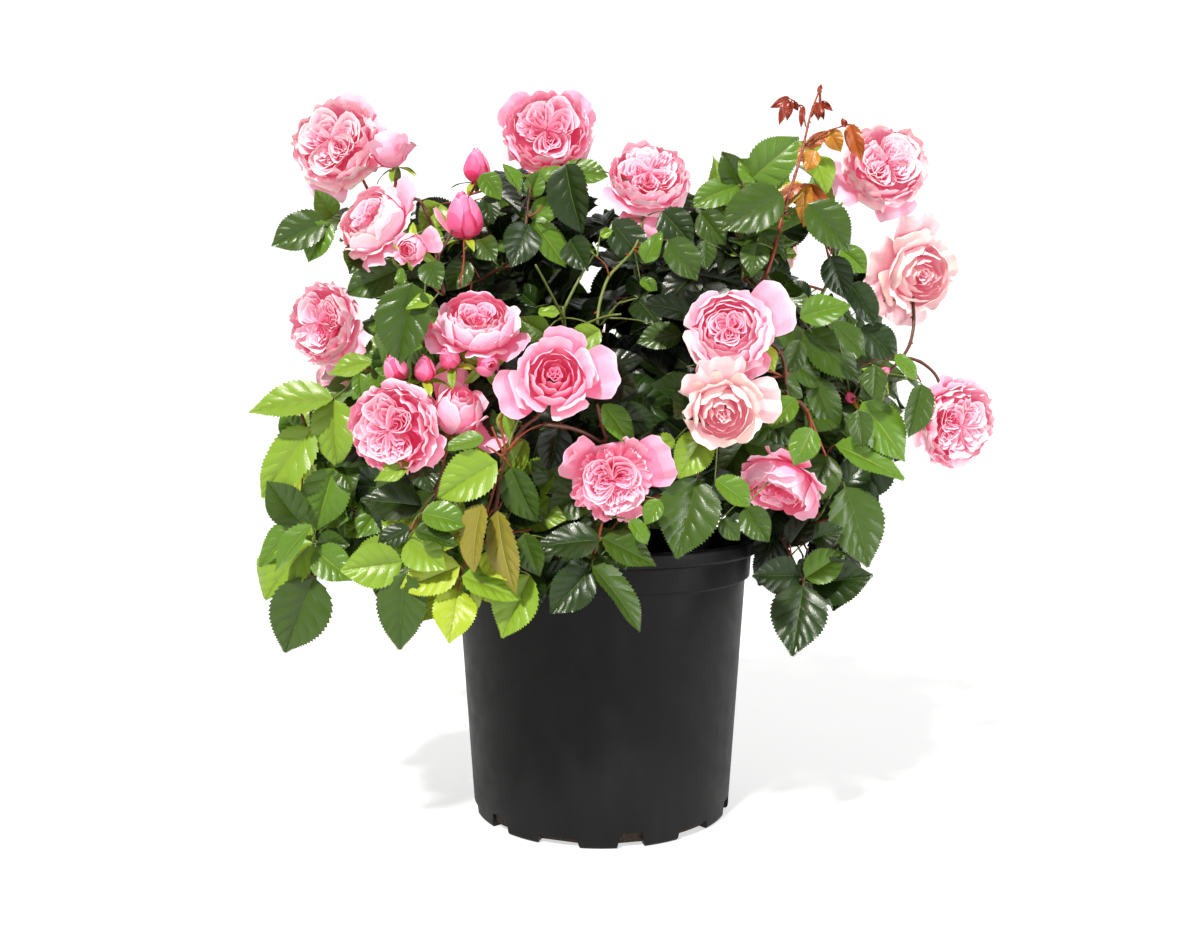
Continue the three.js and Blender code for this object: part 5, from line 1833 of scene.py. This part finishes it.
def globe(head, wings):
    """A rounded bloom: a quartered heart, held in many incurved petals."""
    random = head.random
    start = random.uniform(0, 2 * math.pi)
    for q in range(3):
        for share in np.arange(6) / 5:
            turn = start + (q + random.uniform(-0.15, 0.15)) * 2 * math.pi / 3
            spread = lerp(1.1, 0.4, share)
            far = lerp(0.4, 0.1, share)
            top = lerp(0.24, 0.18, share)
            head.fold(turn, spread, 0.03, far, -0.3, top, 0.2, lerp(7, 4.5, share))
    for share, turn in spiral(random, 28, 0.12):
        r = lerp(0.34, 0.76, share)
        top = lerp(0.2, 0.3, share) + random.uniform(-0.03, 0.03)
        profile = [(0.04, -0.5), (1.12 * r + 0.08, -0.5), (1.26 * r + 0.04, 0.0), (0.86 * r, top)]
        half = lerp(0.34, 0.5, share)
        head.petal(turn, profile, half, 1.0, 1 + 2 * share, 6.8 + 1.5 * share, 0.03, 0.02, 9)
    guard_petals(head, 5, 0.88, 0.16, -0.02, 7.5, random.uniform(0, 1))
    guard_petals(head, 5, 0.95, 0.0, 0.14, 8.5, random.uniform(0, 1))
    wing_petals(head, wings)


def cup(head, wings):
    """A cupped bloom with a tight spiral heart in a wide bowl."""
    random = head.random
    for k in range(4):
        head.fold(1.6 * k, 1.3, 0.0, 0.13, -0.3, 0.26, 1.2, 5.5)
    for share, turn in spiral(random, 19, 0.1):
        r = lerp(0.1, 0.62, share ** 0.85)
        top = lerp(0.26, 0.36, share) - 0.14 * share * share + random.uniform(-0.02, 0.02)
        profile = [(0.03, -0.5), (1.15 * r + 0.08, -0.5), (1.25 * r + 0.04, 0.05), (0.9 * r, top)]
        half = lerp(0.2, 0.5, share)
        head.petal(turn, profile, half, 1.0, 1.4 + 2 * share, 6.8 + 1.4 * share, 0.02, 0.04, 10)
    guard_petals(head, 5, 0.8, 0.24, 0.02, 7.0, random.uniform(0, 1))
    guard_petals(head, 4, 0.92, 0.06, 0.16, 8.0, random.uniform(0, 1))
    wing_petals(head, wings)


def old_cup(head, wings):
    """A cupped bloom past its best, in duller and creamier tones."""
    head.first_tone = len(PETAL_TONES)
    cup(head, wings)


def half_open(head, wings):
    """A bud that has begun to open: a rolled heart in a few looser petals."""
    random = head.random
    for share, turn in spiral(random, 15, 0.1):
        r = lerp(0.1, 0.62, share)
        top = lerp(0.8, 0.62, share)
        profile = [(0.05, -0.7), (1.3 * r + 0.12, -0.62), (1.2 * r + 0.08, 0.3), (0.62 * r + 0.03, top)]
        half = lerp(0.3, 0.62, share)
        head.petal(turn, profile, half, 1.0, 1 + 2 * share, 4.5 + 3 * share, 0.02, 0.03, 9)
    guard_petals(head, 4, 0.8, 0.42, 0.0, 6.5, random.uniform(0, 1))
    wing_petals(head, wings)


def bud(head, wings):
    """A closed bud: petals rolled round each other and drawn together at a blunt tip."""
    random = head.random
    for k in range(9):
        share = k / 8
        turn = k * GOLDEN_TURN
        r = lerp(0.45, 0.95, share)
        tip = lerp(1.3, 1.0, share) + random.uniform(-0.05, 0.05)
        profile = [(0.1, -1.05), (1.32 * r, -0.9), (1.12 * r, 0.3), (0.12 + 0.3 * share * r, tip)]
        outer = 1.5 + 1.5 * share
        head.petal(turn, profile, 0.85 * r, 1.0, 0.3, outer, 0.015, 0.03 * share, 9, 0.0, WIDE_LEVELS)
    for clock, reach, droop in wings:
        profile = [(0.1, -1.05), (0.9 * reach, -0.9), (1.1 * reach, 0.2), (1.3 * reach, 0.75 + droop * 0.2)]
        head.petal(math.radians(clock), profile, 0.7, 0.7, 4, 8, 0.04, 0.08, 9, 0.05, WIDE_LEVELS)


KINDS = {kind.__name__: kind for kind in (rosette, ragged, globe, cup, old_cup, half_open, bud)}


def grow_head(mass, bloom, at, facing):
    """A bloom on its hip, with the sepals that held it."""
    _, _, width, _, _, kind, pale, wings = bloom
    head = Head(mass.petals, at, facing, width / 2, pale, mass.random)
    KINDS[kind](head, wings)
    low = {"bud": -1.05, "half_open": -0.7}.get(kind, -0.5)
    hip(mass, head, low)
    sepals(mass, head, low, kind)


def hip(mass, head, low):
    """The swelling under a bloom."""
    size = 0.5 * math.sqrt(head.radius)
    heights = vec((1.2, 0.2, -1.3, -2.8, -4.2)) * size
    radii = vec((1.5, 1.35, 1.5, 1.15, 0.5)) * size
    centres = head.at + head.facing * (low * head.radius + heights[:, None])
    along = np.repeat(-head.facing[None, :], len(heights), axis=0)
    ring = np.repeat(radii[:, None], 8, axis=1)
    tube(mass.twigs, centres, along, head.right, ring, wood_tone(False))


def sepals(mass, head, low, kind):
    """Five narrow sepals, spread or turned back, as blades of the leaf kind."""
    random = mass.random
    start = random.uniform(0, 2 * math.pi)
    length = 20 if kind != "bud" else 12 + 0.8 * head.radius
    back = {"bud": 0.3, "half_open": 0.5}.get(kind, 0.75)
    for k in range(5):
        turn = start + 2 * math.pi * k / 5
        out = head.right * math.cos(turn) + head.up * math.sin(turn)
        way = unit(out - head.facing * (back + random.uniform(-0.2, 0.3)))
        root = head.at + head.facing * low * head.radius + out * 1.2
        shade = LEAF_TONE_NAMES.index("fresh" if random.random() < 0.6 else "lime")
        rib = LEAF_TONE_NAMES.index("rib")
        phase = random.uniform(0, 6)
        face = head.facing + out * 0.2
        mass.blades.append((root, way, face, length, 6.0, 0.2, 0.9, 0.3, phase, shade, rib))


# Stage


def build_stage():
    """A plain white floor and backdrop, lit a little from within as light tables are, and a soft sky."""
    for name, (corners, albedo, glow) in SHEETS.items():
        part = stage_sheet(name, corners, albedo, glow)
        part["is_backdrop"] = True
    world = bpy.data.worlds.new("studio")
    bpy.context.scene.world = world
    world.use_nodes = True
    sky = world.node_tree.nodes["Background"]
    sky.inputs["Color"].default_value = (1, 1, 1, 1)
    sky.inputs["Strength"].default_value = SKY_STRENGTH


def stage_sheet(name, corners, albedo, glow):
    """A white sheet of the studio, with corners in metres."""
    mesh = bpy.data.meshes.new(name)
    mesh.from_pydata(corners, [], [(0, 1, 2, 3)])
    look = Look(name, "#ffffff", 0.7)
    look.set({"Base Color": (albedo, albedo, albedo, 1), "Emission Color": (1, 1, 1, 1)})
    look.set({"Emission Strength": glow})
    mesh.materials.append(look.material)
    return place_object(name, mesh)


def build_lights():
    """A distant sun and a tall soft box at the side."""
    sun = bpy.data.lights.new("sun", "SUN")
    sun.energy = SUN["strength"]
    sun.angle = math.radians(SUN["degrees"])
    sun.color = SUN["colour"]
    place_object("sun", sun).rotation_euler = aim(SUN["towards"])
    panel = bpy.data.lights.new("side_light", "AREA")
    panel.shape = "RECTANGLE"
    panel.size = SIDE_LIGHT["width"]
    panel.size_y = SIDE_LIGHT["height"]
    panel.energy = SIDE_LIGHT["watts"]
    holder = place_object("side_light", panel)
    holder.location = SIDE_LIGHT["at"]
    holder.rotation_euler = aim(vec(SIDE_LIGHT["towards"]) - vec(SIDE_LIGHT["at"]))


def aim(direction):
    """The rotation that turns a lamp or camera from looking down -Z to looking along a direction."""
    x, y, z = unit(vec(direction))
    return (math.acos(max(-1, min(1, -z))), 0, math.atan2(y, x) - math.pi / 2)


def build_camera():
    camera = bpy.data.cameras.new("camera")
    camera.sensor_width = CAMERA["sensor"]
    camera.lens = CAMERA["sensor"] * CAMERA["focal_px"] / CAMERA["width_px"]
    holder = place_object("camera", camera)
    holder.location = vec(CAMERA["at"]) * MM
    holder.rotation_euler = (math.pi / 2 - CAMERA["down"], 0, 0)
    bpy.context.scene.camera = holder


def bark_piece(kind, name, line, size, seed, look):
    """A cane or bough as one mesh, with its bark and thorns."""
    random = np.random.default_rng(seed)
    heap = Heap()
    limb(heap, line, size, random)
    thorns(heap, line, size, random, 0)
    slot = "old_bark" if kind == "cane" else "young_bark"
    make_piece(f"{kind}_bark_{name}", heap, [look], slot, f"{kind}_{name}")


def build_wood():
    """The stem, canes and boughs with their bark. Gives each mass's bough line."""
    old = bark_look("old_bark", OLD_BARK, 160)
    young = bark_look("young_bark", YOUNG_BARK, 200)
    build_stem(old)
    canes = {}
    for order, (name, (angle, tip)) in enumerate(CANES.items()):
        canes[name] = cane_line(angle, tip, order)
        bark_piece("cane", name, canes[name], CANE, SEEDS["canes"] + order, old)
    boughs = {}
    for order, (name, table) in enumerate(MASSES.items()):
        boughs[name] = bough_line(table, canes.get(table["cane"]))
        bark_piece("bough", name, boughs[name], BOUGH, SEEDS["boughs"] + order, young)
    return boughs


def build_crown(boughs):
    """All masses: wood, blooms and the leaflets that are seen first, then all other leaves."""
    leaf_looks = [leaf_look("leaf_" + name, colour) for name, colour in LEAF_TONES.items()]
    petal_looks = [petal_look(f"petal_{k}", colour) for k, colour in enumerate(PETAL_TONES + OLD_TONES)]
    twig_looks = [twig_look("twig_" + name, colour) for name, colour in WOOD_TONES.items()]
    masses = [Mass(name, order, boughs[name]) for order, name in enumerate(MASSES)]
    stalks = [grow_wood(mass) for mass in masses]
    for mass, own in zip(masses, stalks):
        grow_mass(mass, own)
    for mass in masses:
        leaves = Heap()
        leaf_mesh(leaves, mass.blades)
        node = "foliage_" + mass.name
        make_piece("leaves_" + mass.name, leaves, leaf_looks, "leaf", node)
        make_piece("twigs_" + mass.name, mass.twigs, twig_looks, "young_bark", node)
        if mass.petals.count:
            make_piece("blooms_" + mass.name, mass.petals, petal_looks, "petal", node)


bpy.context.scene.view_settings.view_transform = "Standard"
build_camera()
build_stage()
build_lights()
build_pot()
build_soil()
build_crown(build_wood())

boxes = {"cad": cad_box, "visual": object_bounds()}
{name: [list(corner) for corner in box] for name, box in boxes.items()}
